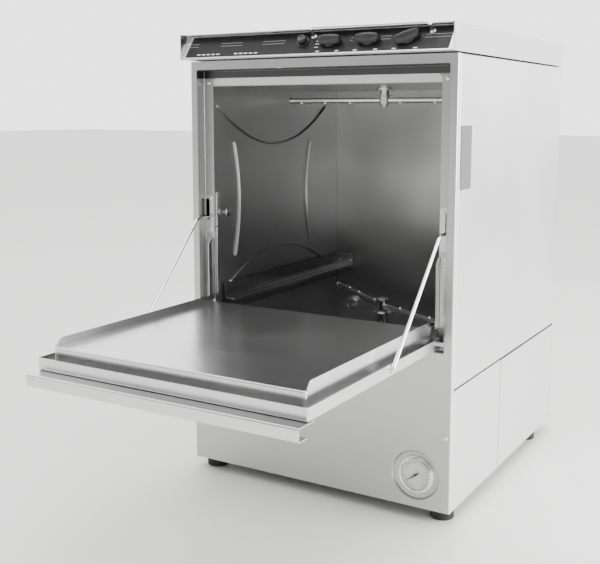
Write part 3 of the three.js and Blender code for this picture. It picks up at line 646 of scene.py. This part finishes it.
def side_panels():
    y0, y1 = HEM_Y + 0.8, DEPTH - 2.2
    for side, name in SIDES:
        def place(u, v, w):
            return (side * (HALF_W - w), u, v)

        # Both side trays take the lighter side steel: painted light.
        upper = tray((y0, y1), (SEAM_Z + 1.9, Z_TOP), place, 7, corner=2.2, fold=1.2)
        shown(f"{name}_side_sheet", upper, f"{name}_side_panel", STEEL_SIDE_LIT)
        lower = tray((WRAP_Y + 3.2, y1), (Z_BASE, SEAM_Z - 1.5), place, 3, corner=2.0, fold=1.2)
        sheet = shown(f"{name}_access_sheet", lower, f"{name}_access_panel", STEEL_SIDE_LIT)
        # The returns round the access panel take the darker steel: painted shade in the seams.
        second_finish(sheet, STEEL_RAIL_AND_SHADE, lambda face: abs(face.normal.x) < 0.95)
        places = [(side * HALF_W, y, z) for z in (250, 45) for y in (292, 646)]
        screws(f"{name}_access", f"{name}_access_panel", X, side, places)


def rear_panel():
    holes = [circle(200, 300, 12.6, 24), circle(-205, 78, 15.6, 24), circle(-256, 150, 9.4, 24)]
    mesh = tray((-HALF_W, HALF_W), (Z_BASE, Z_TOP), lambda u, v, w: (u, DEPTH - w, v), 3,
                corner=2.0, fold=1.5, holes=holes)
    shown("rear_sheet", mesh, "rear_panel", STEEL_BACK)
    places = [(x, DEPTH, z) for x in (-286, 286) for z in (60, 330, 600, 872)]
    screws("rear", "rear_panel", Y, 1, places)


def front_screws():
    screws("front", "front_panel", Y, -1, [(-290, 0, 173), (290, 0, 173)], marks="lr")


def feet():
    for name in ("foot_front_left", "foot_front_right", "foot_rear_left", "foot_rear_right"):
        node = Extent(name)
        centre = ((node.x0 + node.x1) / 2, (node.y0 + node.y1) / 2, 0)
        pad = [(0, 0), (20.6, 0), (22.4, 0.8), (23, 2.4), (23, 14.2), (22.4, 15.8), (20.8, 17.2),
               (16, 18.8), (14, 19.8), (13.2, 20.6), (12, 21), (0, 21)]
        mesh = turned(pad, Z, centre, 48)
        shown(f"{name}_pad", mesh, name, RUBBER)
        thread = [(0, 21.2)]
        z = 21.2
        while z < 44:
            thread += [(5.4, z), (6, z + 0.6), (5.4, z + 1.2)]
            z += 1.2
        thread.append((0, z))
        shown(f"{name}_stem", turned(thread, Z, centre, 24), f"+{name}", CHROME)
        nut = turned([(6.1, 21.4), (9, 21.4), (10, 22.2), (10, 28.6), (9, 29.4), (6.1, 29.4), (6.1, 21.4)],
                     Z, centre, 6)
        shown(f"{name}_nut", eased(nut, 0.3), f"+{name}", CHROME, sharp=25)


# ---- lid and console ----

CONSOLE_Z, CONSOLE_SILL = 892.0, 893.5
BACK, UP = 0.606, 0.795  # the console's slope as parts of a unit step
SLOPE = Vector((0, BACK, UP))
SLOPE_FOOT = Vector((0, LID.y0, CONSOLE_SILL))
SLOPE_OUT = Vector((0, -UP, BACK))
SLOPE_TURN = Matrix.Rotation(math.atan2(BACK, -UP), 4, "X")
KNOB_S, BUTTON_S, GUARD_S = 29.0, 32.0, 44.0
FILM_X = 291
KNOBS = ((46.0, 0.0), (127.0, 0.0), (207.0, 24.0))
BUTTON_X = -16.0
GUARD_X = (5.0, 252.0)
LID_FRONT = -9.0


def on_slope(x, s, out=0.0):
    p = SLOPE_FOOT + SLOPE * s + SLOPE_OUT * out
    return Vector((x, p.y, p.z))


def stood(mesh, x, s):
    """A mesh made about the origin with +Y outward, stood on the slope at x and s."""
    return moved(mesh, SLOPE_TURN, to=on_slope(x, s))


def top_lid():
    h = SHEET / 2
    x, back, z, fold = LID.x1 - h, LID.y1 - h, LID.z1 - h, 2.6
    low = CONSOLE_Z + 0.2
    skin = Skin()
    # The top, from its front edge back, with folds down at both sides and at the rear.
    span = (-x + fold, x - fold)
    inner = [(u, v) for v, us in ((LID_FRONT, span), (back - fold, span[::-1])) for u in us]
    skin.flat([inner], lambda u, v: (u, v, z))
    steps = quarter(fold)
    for side in (-1, 1):
        for run in ((LID_FRONT, back - fold), (LID.y0 + 0.2, LID_FRONT)):
            rows = [[(side * (x - a), y, z - b) for y in run] for a, b in steps]
            skin.rows([*rows, [(side * x, y, low) for y in run]])
    rows = [[(u, back - a, z - b) for u in span] for a, b in steps]
    skin.rows([*rows, [(u, back, low) for u in span]])
    for side in (-1, 1):
        arcs = []
        for a, b in steps:
            r = fold - a
            arcs.append([(side * (x - fold + r * math.cos(t)), back - fold + r * math.sin(t), z - b)
                         for t in EIGHTHS])
        skin.rows([*arcs, [(p[0], p[1], low) for p in arcs[-1]]])
    sheet = shown("top_lid_sheet", skin.sheet(), "top_lid", STEEL_LID)
    # The cheeks' inner faces in front of the top take the darker steel: painted shade.
    front = at((0, LID_FRONT, 0)).y
    second_finish(sheet, STEEL_RAIL_AND_SHADE,
                  lambda face: face.center.y < front and face.normal.x * face.center.x < -0.2)


def console():
    x = LID.x1 - 1.9
    top = on_slope(0, 59.7)
    under = on_slope(0, 59.7, -1.5)
    foot = [(LID.y0 + 0.05, CONSOLE_Z), (LID.y0 + 0.05, 893.3), (LID.y0 + 0.4, 894.1)]
    outline = [*foot, (top.y, top.z), (under.y, under.z), (-28.1, CONSOLE_SILL), (-10, CONSOLE_SILL),
               (-10, CONSOLE_Z)]
    panel = prism(outline, X, -x, x)
    shown("console_sheet", minus(panel, *console_holes()), "console_panel", STEEL_LID)
    film = prism([tuple(on_slope(0, s, o)[1:]) for s, o in ((4, 0.3), (4, 1.0), (56, 1.0), (56, 0.3))],
                 X, -FILM_X, FILM_X)
    shown("console_film", minus(film, *console_holes()), "control_label", FILM)


def console_holes():
    """Cutters for the shafts of the knobs, the button and the guard's two feet."""
    shafts = [(4.5, x, KNOB_S) for x, _ in KNOBS]
    shafts += [(4.5, BUTTON_X, BUTTON_S), *((3.4, x, GUARD_S) for x in GUARD_X)]
    return [stood(disc(r, -8, 4, Y, ORIGIN, 24, 0), x, s) for r, x, s in shafts]


def stripe(x0, x1, s0, s1):
    """A printed bar lying on the film."""
    corners = ((s0, 1.02), (s0, 1.14), (s1, 1.14), (s1, 1.02))
    return prism([tuple(on_slope(0, s, out)[1:]) for s, out in corners], X, x0, x1)


def console_marks():
    """Plain printed marks: a double line in lengths across the film, and dashes beside the controls."""
    lines = []
    for x0, x1 in ((-FILM_X, -268), (-212, -160), (-110, -58), (88, 92), (152, 172), (240, FILM_X)):
        lines += [stripe(x0, x1, s, s + 1.2) for s in (29.4, 36.4)]
    shown("console_lines", joined(*lines), "+control_label", LINES)
    marks = [stripe(x, x + 8, 7.6, 10) for start in (-262, -170) for x in range(start, start + 60, 12)]
    marks += [stripe(x + dx - 4, x + dx + 4, 5, 7.4) for x, _ in KNOBS for dx in (-22, 20)]
    marks += [stripe(14, end, s, s + 1.4) for s, end in ((16, 22), (24, 22), (31, 18))]
    shown("console_marks", joined(*marks), "+control_label", MARKS)


def selector_knobs():
    for i, (x, turn) in enumerate(KNOBS):
        base = turned([(0, 1.5), (13, 1.5), (13.6, 2.1), (13.6, 5.2), (12.6, 6.4), (0, 6.4)],
                      Y, ORIGIN, 48)
        mesh = moved(union(grip(), base), Matrix.Rotation(math.radians(turn), 4, "Y"))
        name = f"selector_knob_{i + 1}"
        shown(f"{name}_grip", stood(mesh, x, KNOB_S), name, BLACK, sharp=50)


def grip():
    """A lozenge bar with a hollow down each flank and a curved ridge between them."""
    bm = bmesh.new()
    half, top, low = 23.0, 18.9, 5.0
    along, across = 24, 12
    rings = []
    for i in range(along + 1):
        u = -half + 2 * half * i / along
        k = abs(u) / half
        wide = 6.0 + 5.0 * math.cos(k * math.pi / 2) ** 0.7 if k < 1 else 6.0
        wide *= math.sqrt(max(0.0, 1 - max(0.0, k - 0.86) ** 2 * 26))
        tall = top - 2.2 * k ** 2
        ring = []
        for j in range(across + 1):
            a = math.pi * j / across
            pinch = 1 - 0.34 * math.sin(a) ** 2 * (1 - 0.5 * k)
            v = wide * math.cos(a) * (pinch if 0 < j < across else 1)
            h = low + (tall - low) * math.sin(a) ** 0.8
            ring.append(bm.verts.new(at((u, h, v))))
        rings.append(ring)
    for a, b in zip(rings, rings[1:]):
        for j in range(across):
            bm.faces.new((a[j], a[j + 1], b[j + 1], b[j]))
        bm.faces.new((a[0], b[0], b[-1], a[-1]))
    bm.faces.new(rings[0])
    bm.faces.new(rings[-1])
    return mesh_of(bm)


def power_button():
    body = [(0, -10), (4, -10), (4, 4.4), (8.4, 4.4), (9, 5), (9, 11), (8.3, 12.6), (7, 13.4), (5.5, 13.2),
            (2.5, 12.6), (0, 12.4)]
    cap = stood(turned(body, Y, ORIGIN, 48), BUTTON_X, BUTTON_S)
    shown("power_button_cap", cap, "power_button", BLACK)
    ring = [(9.6, 1.1), (13.2, 1.1), (13.2, 2.6), (12.6, 3.2), (10.2, 3.2), (9.6, 2.6), (9.6, 1.1)]
    bezel = stood(turned(ring, Y, ORIGIN, 48), BUTTON_X, BUTTON_S)
    shown("power_button_bezel", bezel, "+control_label", BLACK)


def knob_guard():
    a, b = GUARD_X
    points = [on_slope(x, GUARD_S, out) for x, out in ((a, -6), (a, 24), (b, 24), (b, -6))]
    shown("knob_guard_rod", swept(path_points(points, 8, 8), 2.95, 20), "knob_guard", CHROME)
    for i, x in enumerate(GUARD_X):
        foot = turned([(3.2, 1.1), (6.2, 1.1), (6.2, 2.2), (4.6, 3.4), (3.2, 3.6), (3.2, 1.1)],
                      Y, ORIGIN, 32)
        shown(f"knob_guard_washer_{i + 1}", stood(foot, x, GUARD_S), "+knob_guard", CHROME)


# ---- wash tank ----

TANK_X, TANK_Y0, TANK_Y1 = 260.0, 26.3, 570.0
TANK_Z0, TANK_Z1 = 236.0, 838.2
HUB_Y = 320.0
HUB = (0, HUB_Y, 0)
SWITCH = (0, 61, 568)
PORT = (-208, 0, 284)


def bow(start, end, middle, sag, upright, n=24):
    """A bead's route, along Y or upright, that strays from its middle line by sag at both ends."""
    points = []
    for i in range(n + 1):
        t = start + (end - start) * i / n
        k = 2 * i / n - 1
        v = middle + sag * k * k
        points.append((v, t) if upright else (t, v))
    return points


def tank_walls():
    """Each side wall with its four pressed beads: a low double ridge along a curve."""
    bows = (bow(40, 503, 712, 84, False), bow(82, 486, 470, -58, False),
            bow(470, 716, 118, -18, True), bow(470, 710, 411, 19, True))
    for side, name in SIDES:
        up = Vector((side, 0, 0))
        wall = block(mirrored(side, TANK_X, TANK_X + SHEET), (TANK_Y0, TANK_Y1), (TANK_Z0, TANK_Z1), r=0)
        ridges = [
            swept([(side * (TANK_X + 0.35), y, z) for y, z in points], 5.2, 14, 0.5, up=up, dome=5.0)
            for points in bows
        ]
        mesh = union(wall, *ridges)
        keep = block(mirrored(side, TANK_X - 5, TANK_X + SHEET), (0, 600), (200, 900), r=0)
        mesh = minus(mesh, keep, operation="INTERSECT")
        if side < 0:
            mesh = minus(mesh, disc(5.4, -270, -250, X, SWITCH, 24, 0))
        shown(f"tank_{name}_sheet", mesh, f"tank_{name}_wall", STEEL_TANK)
        # A light grey strip along each bead's crest: painted highlight.
        crest_highlights = [
            swept([(side * (TANK_X - 1.7), y, z) for y, z in points[1:-1]], 1.7, 8, 0.8, up=up, dome=1.0)
            for points in bows
        ]
        shown(f"tank_{name}_crests", joined(*crest_highlights), f"+tank_{name}_wall", CREST_HIGHLIGHT)


def tank_shell():
    x = TANK_X + SHEET
    rear = Skin()
    y = TANK_Y1 + 0.3 + SHEET / 2
    holes = [circle(PORT[0], PORT[2], 12, 32), circle(200, 700, 6.5, 24)]
    rear.flat([rounded(-x, x, TANK_Z0, TANK_Z1, 1, 1), *holes], lambda u, v: (u, y, v))
    shown("tank_rear_sheet", rear.sheet(), "tank_rear_wall", STEEL_REAR)
    top = block((-x, x), (TANK_Y0, TANK_Y1 + 1.8), (TANK_Z1 + 0.3, TANK_Z1 + 1.8), 0)
    lip = block((-MOUTH[1], MOUTH[1]), (TANK_Y0 + 0.1, TANK_Y0 + SHEET), (TANK_Z1 + 1.9, 858), 0)
    top = minus(top, disc(8, 830, 850, Z, HUB, 32, 0))
    shown("tank_ceiling_sheet", top, "tank_ceiling", STEEL_TANK)
    shown("tank_ceiling_lip", lip, "+tank_ceiling", STEEL_LID)
    low = block((-x, x), (TANK_Y0, TANK_Y1 + 1.8), (TANK_Z0 - 1.8, TANK_Z0 - 0.3), 0)
    sill = block((-TANK_X + 0.3, TANK_X - 0.3), (TANK_Y0 + 0.1, TANK_Y0 + SHEET), (TANK_Z0 - 1, 344), 0)
    mouth = block((-88, 88), (62, 218), (230, 240), 0)
    floor_sheet = minus(union(low, sill), mouth, disc(9, 230, 240, Z, HUB, 32, 0))
    shown("tank_floor_sheet", floor_sheet, "tank_floor", STEEL_DEEP)


def rack_rails():
    rail = Extent("right_rack_rail")
    outer, front, back, ledge, face = 254.7, rail.y0, rail.y1, 380.0, 566.5
    h = SHEET / 2
    for side, name in SIDES:
        skin = Skin()
        x, r = outer - h, 2.2
        section = [(x, 412.8), (x, ledge - h + r)]
        section += [(x - r + r * math.cos(a), ledge - h + r - r * math.sin(a)) for a in EIGHTHS[1:]]
        inner = outer - 25 + h
        section += [(inner + 2, ledge - h), (inner + 0.6, ledge - h - 0.6), (inner, ledge - h - 2),
                    (inner, 372)]
        ends = (front + 0.3, back - 2)
        skin.rows([[(side * u, y, v) for y in ends] for u, v in section])
        angle = skin.sheet()
        web = block(mirrored(side, outer - SHEET, outer), (front + 0.2, back - 2), (350.2, ledge - 1), 0.5)
        spacers = [block(mirrored(side, outer - 0.6, TANK_X - 0.4), (y0, y0 + 20), (386, 402), 1.2)
                   for y0 in (90, 520)]
        shown(f"{name}_rail_angle", joined(angle, web, *spacers), f"{name}_rack_rail", STEEL_RAIL_AND_SHADE)
        flange = block(mirrored(side, outer - 48, outer - 0.4), (face, face + 1.6), (368, 412), 0.5)
        shown(f"{name}_rail_flange", flange, f"+{name}_rack_rail", STEEL_PLAIN)
        places = [(side * x, face, 395) for x in (outer - 8, outer - 40)]
        screws(f"{name}_rail", f"{name}_rack_rail", Y, -1, places, 3.4, 1.7)


def spray_arm(name, z0, z1, angle, up, lift):
    """A tube with a jet cut under or over each hole, and a plug screwed into each end."""
    middle = (z0 + z1) / 2
    low, high = z0 - middle, z1 - middle
    reach = 243.0
    turn = Matrix.Rotation(math.radians(angle), 4, "Z")

    def placed(mesh, tilt=0.0):
        return moved(mesh, turn @ Matrix.Rotation(tilt, 4, "Y"), to=(0, HUB_Y, middle))

    rise = math.atan2(lift, reach)
    path = [(x, 0, lift * abs(x) / reach) for x in (-236, -150, -40, 0, 40, 150, 236)]
    tube = minus(swept(path, 5.9, 20), disc(12, low, high, Z, ORIGIN, 40, 0))
    shown(f"{name}_tube", placed(tube), name, ARM)
    hub = turned([(5.5, low), (11.8, low), (12.4, low + 0.6), (12.4, high - 0.6), (11.8, high), (5.5, high),
                  (5.5, low)], Z, ORIGIN, 40)
    shown(f"{name}_hub", placed(hub), f"+{name}", CHROME)
    for side in (-1, 1):
        profile = [(0, 233), (6.6, 233), (7.1, 233.6), (7.1, 241), (5.8, 242.6), (2.2, 242.8), (2.2, 240),
                   (0, 240)]
        cap = turned([(r, side * h) for r, h in profile], X, ORIGIN, 24)
        shown(f"{name}_cap_{'a' if side < 0 else 'b'}", placed(cap, -side * rise), f"+{name}", CHROME)
    for i, x in enumerate((-170, -120, -38, 85, 150, 211)):
        side = math.copysign(1, up * x)
        profile = [(0, 4), (4, 4), (4, 6.6), (2.8, 8.4), (1.4, 8.8), (1.2, 7.4), (0, 7.4)]
        jet = turned([(r, up * h) for r, h in profile], Z, (up * x, 0, 0), 16)
        shown(f"{name}_jet_{i + 1}", placed(jet, -side * rise), f"+{name}", CHROME)


def spindles():
    upper = [(0, 796), (8.4, 796), (9, 796.6), (9, 799.4), (8.4, 800), (5, 800), (5, 820), (19.5, 820),
             (20, 820.5), (20, 821.5), (19.5, 822), (10.5, 822), (10.5, 834), (17.4, 834), (18, 834.6),
             (18, 838.2), (7, 838.2), (7, 856), (0, 856)]
    shown("upper_spindle_turned", turned(upper, Z, HUB, 40), "upper_spindle", CHROME)
    lower = [(0, 200), (8, 200), (8, 236), (27, 236), (28, 237), (27.4, 239.6), (16.5, 241.5), (15, 243),
             (15, 323), (16, 324), (21, 324), (21.5, 324.6), (21.5, 325.9), (21, 326.5), (13, 326.5),
             (13, 330), (5, 330), (5, 352.3), (13.4, 352.3), (14, 352.9), (14, 356), (13.2, 357), (0, 357)]
    shown("lower_spindle_turned", turned(lower, Z, HUB, 40), "lower_spindle", CHROME)
    screws("upper_spindle", "upper_spindle", Z, -1, [(x, HUB_Y, 834) for x in (-14, 14)], 3, 1.6)


def port_plug():
    face = [(0, 560.1), (8, 560.3), (12.4, 561.4), (15.2, 563.4), (15.8, 565), (15.8, 569.6), (0, 569.6)]
    ring = [(16.4, 568), (16.4, 563.6), (17.2, 562.6), (18.2, 563.2), (19, 564.6), (19, 569.4), (18.6, 570),
            (16.4, 570), (16.4, 568)]
    back = [(0, 570), (11.6, 570), (11.6, 572.1), (17, 572.1), (17, 581), (9, 581), (9, 596), (0, 596)]
    shown("tank_port_ring", turned(ring, Y, PORT, 48), "tank_port_plug", CHROME)
    shown("tank_port_core", turned(face, Y, PORT, 48), "+tank_port_plug", STEEL_PLAIN)
    shown("tank_port_nut", turned(back, Y, PORT, 48), "+tank_port_plug", STEEL_PLAIN)


def door_switch():
    button = [(0, -268), (9, -268), (9, -261.8), (4.6, -261.8), (4.6, -252.6), (8.9, -252.2), (9.5, -251.6),
              (9.5, -249.4), (8.9, -248.2), (7.6, -247.4), (0, -247)]
    shown("door_switch_button", turned(button, X, SWITCH, 40), "door_switch", STEEL_PLAIN)
    skin = Skin()
    h = 0.7
    x0, x1, y0 = -259.6 + h, -255.2, 28.2 + h
    for z0, z1, deep in ((540, 614, 14), (392, 539, 9)):
        section = [(x1, y0), (x0 + 1.4, y0), (x0 + 0.4, y0 + 0.4), (x0, y0 + 1.4), (x0, y0 + deep)]
        skin.rows([[(u, v, z) for z in (z0 + 0.6, z1 - 0.6)] for u, v in section])
    shown("door_switch_strip", skin.sheet(1.4), "+door_switch", CHROME)


# ---- door ----

DOOR_X, DOOR_FRONT, DOOR_REAR = PAN.x1, PAN.y0, PAN.y1
DOOR_Z0, DOOR_Z1 = PAN.z0, PAN.z1
HINGE = (7.0, 352.0)
ROD_PIN = (-208.0, 354.0)
ROD_BEND = (-14.0, 560.0)
ROD_END_Y = 40.0
JAMB_Y = 22.7


def door_outer():
    mesh = tray((-DOOR_X, DOOR_X), (DOOR_FRONT, DOOR_REAR),
                lambda u, v, w: (u, v, DOOR_Z0 + w), DOOR_Z1 - DOOR_Z0, corner=4.5, fold=3.0)
    for side in (-1, 1):
        span = mirrored(side, DOOR_X - 4, DOOR_X + 3)
        mesh = minus(mesh, *[disc(4.3, *span, X, (0, *pin), 24, 0) for pin in (HINGE, ROD_PIN)])
    shown("door_outer_sheet", mesh, "door_outer_pan", STEEL_DOOR)


def door_inner():
    x, y0, y1 = INNER.x1, INNER.y0, INNER.y1
    top, flange_top, low = 380.0, INNER.z1, DOOR_Z0 + SHEET + 0.3
    mesh = tray((-x, x), (y0, y1), lambda u, v, w: (u, v, top - w), top - low, corner=4.0, fold=2.4)
    shown("door_inner_sheet", mesh, "door_inner_pan", STEEL_DOOR)
    outline = [(y0 + 5, top - 3), (y0 + 5, top + 2), (y0 + 12, flange_top - 3),
               (y0 + 16, flange_top - 0.8), (y0 + 19, flange_top), (y1 - 7, flange_top),
               (y1 - 4, flange_top - 1), (y1 - 3, flange_top - 4), (y1 - 3, top - 3)]
    for side, name in SIDES:
        flange = prism(outline, X, *mirrored(side, x - SHEET, x), ease=0.35)
        shown(f"door_{name}_flange", flange, "+door_inner_pan", STEEL_DOOR)


def door_handle():
    h = SHEET / 2
    front = HANDLE.y0 + 1.2
    x, y, z0, z1 = DOOR_X - 0.3, front + h, HANDLE.z0 + h, HANDLE.z1 - h
    back, lip, r = HANDLE.y1 - 0.2, -483.0, 2.6
    arc = [i * math.pi / 10 for i in range(6)]
    section = [(back, z1)]
    section += [(y + r - r * math.sin(a), z1 - r + r * math.cos(a)) for a in arc]
    section += [(y + r - r * math.cos(a), z0 + r - r * math.sin(a)) for a in arc]
    section.append((lip, z0))
    skin = Skin()
    skin.rows([[(u, a, b) for u in (-x, x)] for a, b in section])
    shown("door_handle_channel", skin.sheet(), "door_handle", STEEL_DOOR)
    screws("door_handle", "door_handle", Y, -1, [(-258, front, 331)], 3.2, 1.2)


def door_rods():
    for side, name in SIDES:
        x = side * ROD_X
        points = [(side * 264, *ROD_PIN), (x, *ROD_PIN), (x, *ROD_BEND), (x, ROD_END_Y, ROD_BEND[1])]
        rod = swept(path_points(points, 9, 8), 3.45, 20)
        shown(f"door_rod_{name}_bar", rod, f"door_rod_{name}", CHROME)
        a, b = mirrored(side, 263.6, 268)
        nut = turned([(3.6, a), (6.3, a), (6.3, b), (3.6, b), (3.6, a)], X, (0, *ROD_PIN), 6)
        shown(f"door_rod_{name}_nut", eased(nut, 0.3), f"+door_rod_{name}", CHROME, sharp=25)
        pin = turned([(0, 262), (4, 262), (4, 280.2), (5.6, 280.2), (6, 280.6), (6, 281.8), (5.6, 282.3),
                      (0, 282.3)], X, (0, *HINGE), 32)
        if side < 0:
            pin.transform(Matrix.Scale(-1, 4, Vector((1, 0, 0))))
            pin.flip_normals()
        shown(f"door_hinge_pin_{name}_turned", pin, f"door_hinge_pin_{name}", CHROME)


def jamb_hardware():
    for side, name in SIDES:
        skin = Skin()
        y = JAMB_Y + SHEET / 2
        outline = rounded(*mirrored(side, 261, 282.4), 526, 608, 3, 4)
        slot = rounded(side * ROD_X - 4.5, side * ROD_X + 4.5, *SLOT_Z, 4.4, 6)
        skin.flat([outline, slot], lambda u, v: (u, y, v))
        shown(f"rod_bracket_{name}_plate", skin.sheet(), f"rod_bracket_{name}", STEEL_PLAIN)
        places = [(side * 266.5, JAMB_Y, z) for z in (600, 534)]
        screws(f"rod_bracket_{name}", f"rod_bracket_{name}", Y, -1, places, 3.6)
        fin = Skin()
        h, r, edge = SHEET / 2, 2.2, 275.8
        x = 262 + h
        low, shoulder, top = 380.3, 503.0, 514.6
        fold = [(x + r - r * math.cos(a), y - r + r * math.sin(a)) for a in EIGHTHS]
        section = [(x, 5.2), *fold, (edge, y)]
        fin.rows([[(side * u, v, z) for z in (low, shoulder)] for u, v in section])
        fin.flat([[(y - r, shoulder), (y - r, top), (14.2, top), (5.2, shoulder)]],
                 lambda u, v: (side * x, u, v))
        fin.flat([[(x + r, shoulder), (edge, shoulder), (edge, top), (x + r, top)]],
                 lambda u, v: (side * u, y, v))
        fin.rows([[(side * u, v, z) for z in (shoulder, top)] for u, v in fold])
        shown(f"splash_fin_{name}_sheet", fin.sheet(), f"splash_fin_{name}", STEEL_PLAIN)
        places = [(side * 270, JAMB_Y, z) for z in (500, 396)]
        screws(f"splash_fin_{name}", f"splash_fin_{name}", Y, -1, places, 3.4, 1.8)


# ---- gauge and plate ----


def gauge():
    centre, face = (GAUGE[0], 0, GAUGE[1]), 29.8
    bezel = [(30.2, 4), (30.2, -2.0), (30.8, -2.8), (31.8, -3.0), (32.6, -2.6), (33, -1.8), (33, 4.7),
             (36.2, 4.7), (36.5, 5), (36.5, 6.4), (33, 6.7), (33, 34), (26, 38), (7, 38), (7, 56), (0, 56),
             (0, 10), (30.2, 10), (30.2, 4)]
    shown("gauge_bezel", turned(bezel, Y, centre, 72), "gauge_housing", CHROME)
    dial = minus(disc(face, 4, 5, Y, centre, 72, 0.1), disc(1.6, 0, 8, Y, centre, 16, 0))
    shown("gauge_dial_disc", dial, "gauge_dial", DIAL)
    lens = turned([(0, -2.9), (12, -2.75), (22, -2.4), (face, -1.8), (face, -1.2), (0, -1.2)], Y, centre, 72)
    shown("gauge_lens_glass", lens, "gauge_lens", GLASS)
    ticks = []
    for i in range(41):
        a = math.radians(-45 + 270 * i / 40)
        inner, wide = (23.4, 0.38) if i % 5 else (20.5, 0.75)
        ticks.append(tick(centre, a, inner, 26.6, wide))
    ticks.append(tick(centre, math.radians(90), 9.5, 10.5, 4.0))
    for a in (-14, 194):
        ticks.append(tick(centre, math.radians(a), 12, 13.2, 1.4))
    shown("gauge_ticks", joined(*ticks), "+gauge_dial", BLACK)
    outline = [(-8.5, -1.7), (-8.5, 1.7), (-2, 1.5), (8, 1.3), (23, 0.35), (23, -0.35), (8, -1.3),
               (-2, -1.5)]
    pointer = prism(outline, Y, 0.6, 1.3)
    hub = turned([(0, 0.2), (2.4, 0.2), (3, 0.8), (3, 3.2), (1, 3.2), (1, 8), (0, 8)], Y, ORIGIN, 24)
    needle = moved(union(pointer, hub), Matrix.Rotation(math.radians(143), 4, "Y"), to=centre)
    shown("gauge_needle_pointer", needle, "gauge_needle", BLACK)


def tick(centre, angle, inner, outer, wide):
    c, s = math.cos(angle), math.sin(angle)
    corners = [(inner, -wide / 2), (outer, -wide / 2), (outer, wide / 2), (inner, wide / 2)]
    outline = [(centre[0] + r * c - t * s, centre[2] + r * s + t * c) for r, t in corners]
    return prism(outline, Y, 3.8, 3.98)


def rating_plate():
    mesh = block((HALF_W + 0.3, HALF_W + 0.95), (18, 72), (642, 760), 0.25, 1)
    shown("rating_plate_blank", mesh, "rating_plate", PLATE)


# ---- hidden machinery ----


def kept_shapes():
    """Pieces whose CAD shape is already right keep it, and take a finish of their own."""
    for node, material in {
        # The base frame takes the darker steel as painted shade, so the seams between the panels read dark.
        "base_frame": STEEL_RAIL_AND_SHADE, "sump_basin": STEEL_DEEP, "scrap_basket": STEEL_PLAIN,
        "wash_pump_housing": GREY, "pump_impeller": GREY, "wash_motor": PAINT, "riser_pipe": STEEL_PLAIN,
        "drain_valve": GREY, "drain_pipe": GREY, "water_inlet_valve": BRASS, "control_box": PAINT,
        "cable_gland": BLACK,
    }.items():
        obj = frame["nodes"][node]
        obj.data.materials.clear()
        obj.data.materials.append(material)


# ---- stage ----


def floor():
    g = Graph("studio_floor", Metallic=0.0)
    speckle = g.noise([3.0] * 3, detail=5.0)
    shade = g.blend(g.span(speckle, 0.0, 1.0), (0.78, 0.775, 0.76, 1), (0.82, 0.815, 0.8, 1))
    g.put(g.shader, {"Base Color": shade, "Roughness": g.span(speckle, 0.5, 0.6)})
    bpy.ops.mesh.primitive_plane_add(size=60, location=(0, 0, 0))
    plane = bpy.context.object
    plane.name = "studio_floor"
    plane.data.materials.append(g.material)


def area(name, location, target, size, power):
    light = bpy.data.lights.new(name, "AREA")
    light.shape = "RECTANGLE"
    light.size, light.size_y = size
    light.energy = power
    obj = linked(name, light)
    obj.location = location
    obj.rotation_euler = (Vector(target) - Vector(location)).to_track_quat("-Z", "Y").to_euler()


def lights():
    world = bpy.data.worlds.new("studio")
    bpy.context.scene.world = world
    nodes = Nodes(world)
    coords = nodes.node("ShaderNodeTexCoord").outputs["Generated"]
    depth = nodes.node("ShaderNodeSeparateXYZ", {0: coords}).outputs["Y"]
    place = nodes.node("ShaderNodeMath", {0: depth, 1: 0.5, 2: 0.5}, operation="MULTIPLY_ADD").outputs[0]
    ramp = nodes.node("ShaderNodeValToRGB", {0: place})
    # A white cyclorama behind the machine, a darker room in front of it.
    for element, (position, tone) in zip(ramp.color_ramp.elements, ((0.12, 0.2), (0.72, 0.98))):
        element.position = position
        element.color = grey(tone)
    nodes.put(nodes.tree.nodes["Background"], {0: ramp.outputs[0], 1: 3.0})
    area("right_softbox", (3.2, 0.4, 1.5), (0, 0.2, 0.5), (2.6, 2.4), 200)
    area("left_softbox", (-3.0, -2.0, 2.2), (0, 0, 0.5), (1.8, 2.0), 18)
    area("top_softbox", (0.2, -0.2, 3.4), (0, 0, 0.4), (2.4, 2.4), 70)


def camera():
    cam = bpy.data.cameras.new("camera")
    cam.sensor_width = 36.0
    cam.lens = 55.7
    cam.shift_y = -0.08
    obj = linked("camera", cam)
    obj.location = (0.9223, -1.6765, 0.7844)
    obj.rotation_euler = (math.radians(90 - 7.48), 0, math.radians(30.98))
    bpy.context.scene.camera = obj


camera()
front_panel()
recess_frame()
side_panels()
rear_panel()
front_screws()
feet()
top_lid()
console()
console_marks()
selector_knobs()
power_button()
knob_guard()
tank_walls()
tank_shell()
rack_rails()
spray_arm("upper_spray_arm", 802, 819.7, 3, -1, 0)
spray_arm("lower_spray_arm", 330.3, 352, -36, 1, 9)
spindles()
port_plug()
door_switch()
door_outer()
door_inner()
door_handle()
door_rods()
jamb_hardware()
gauge()
rating_plate()
kept_shapes()
floor()
lights()
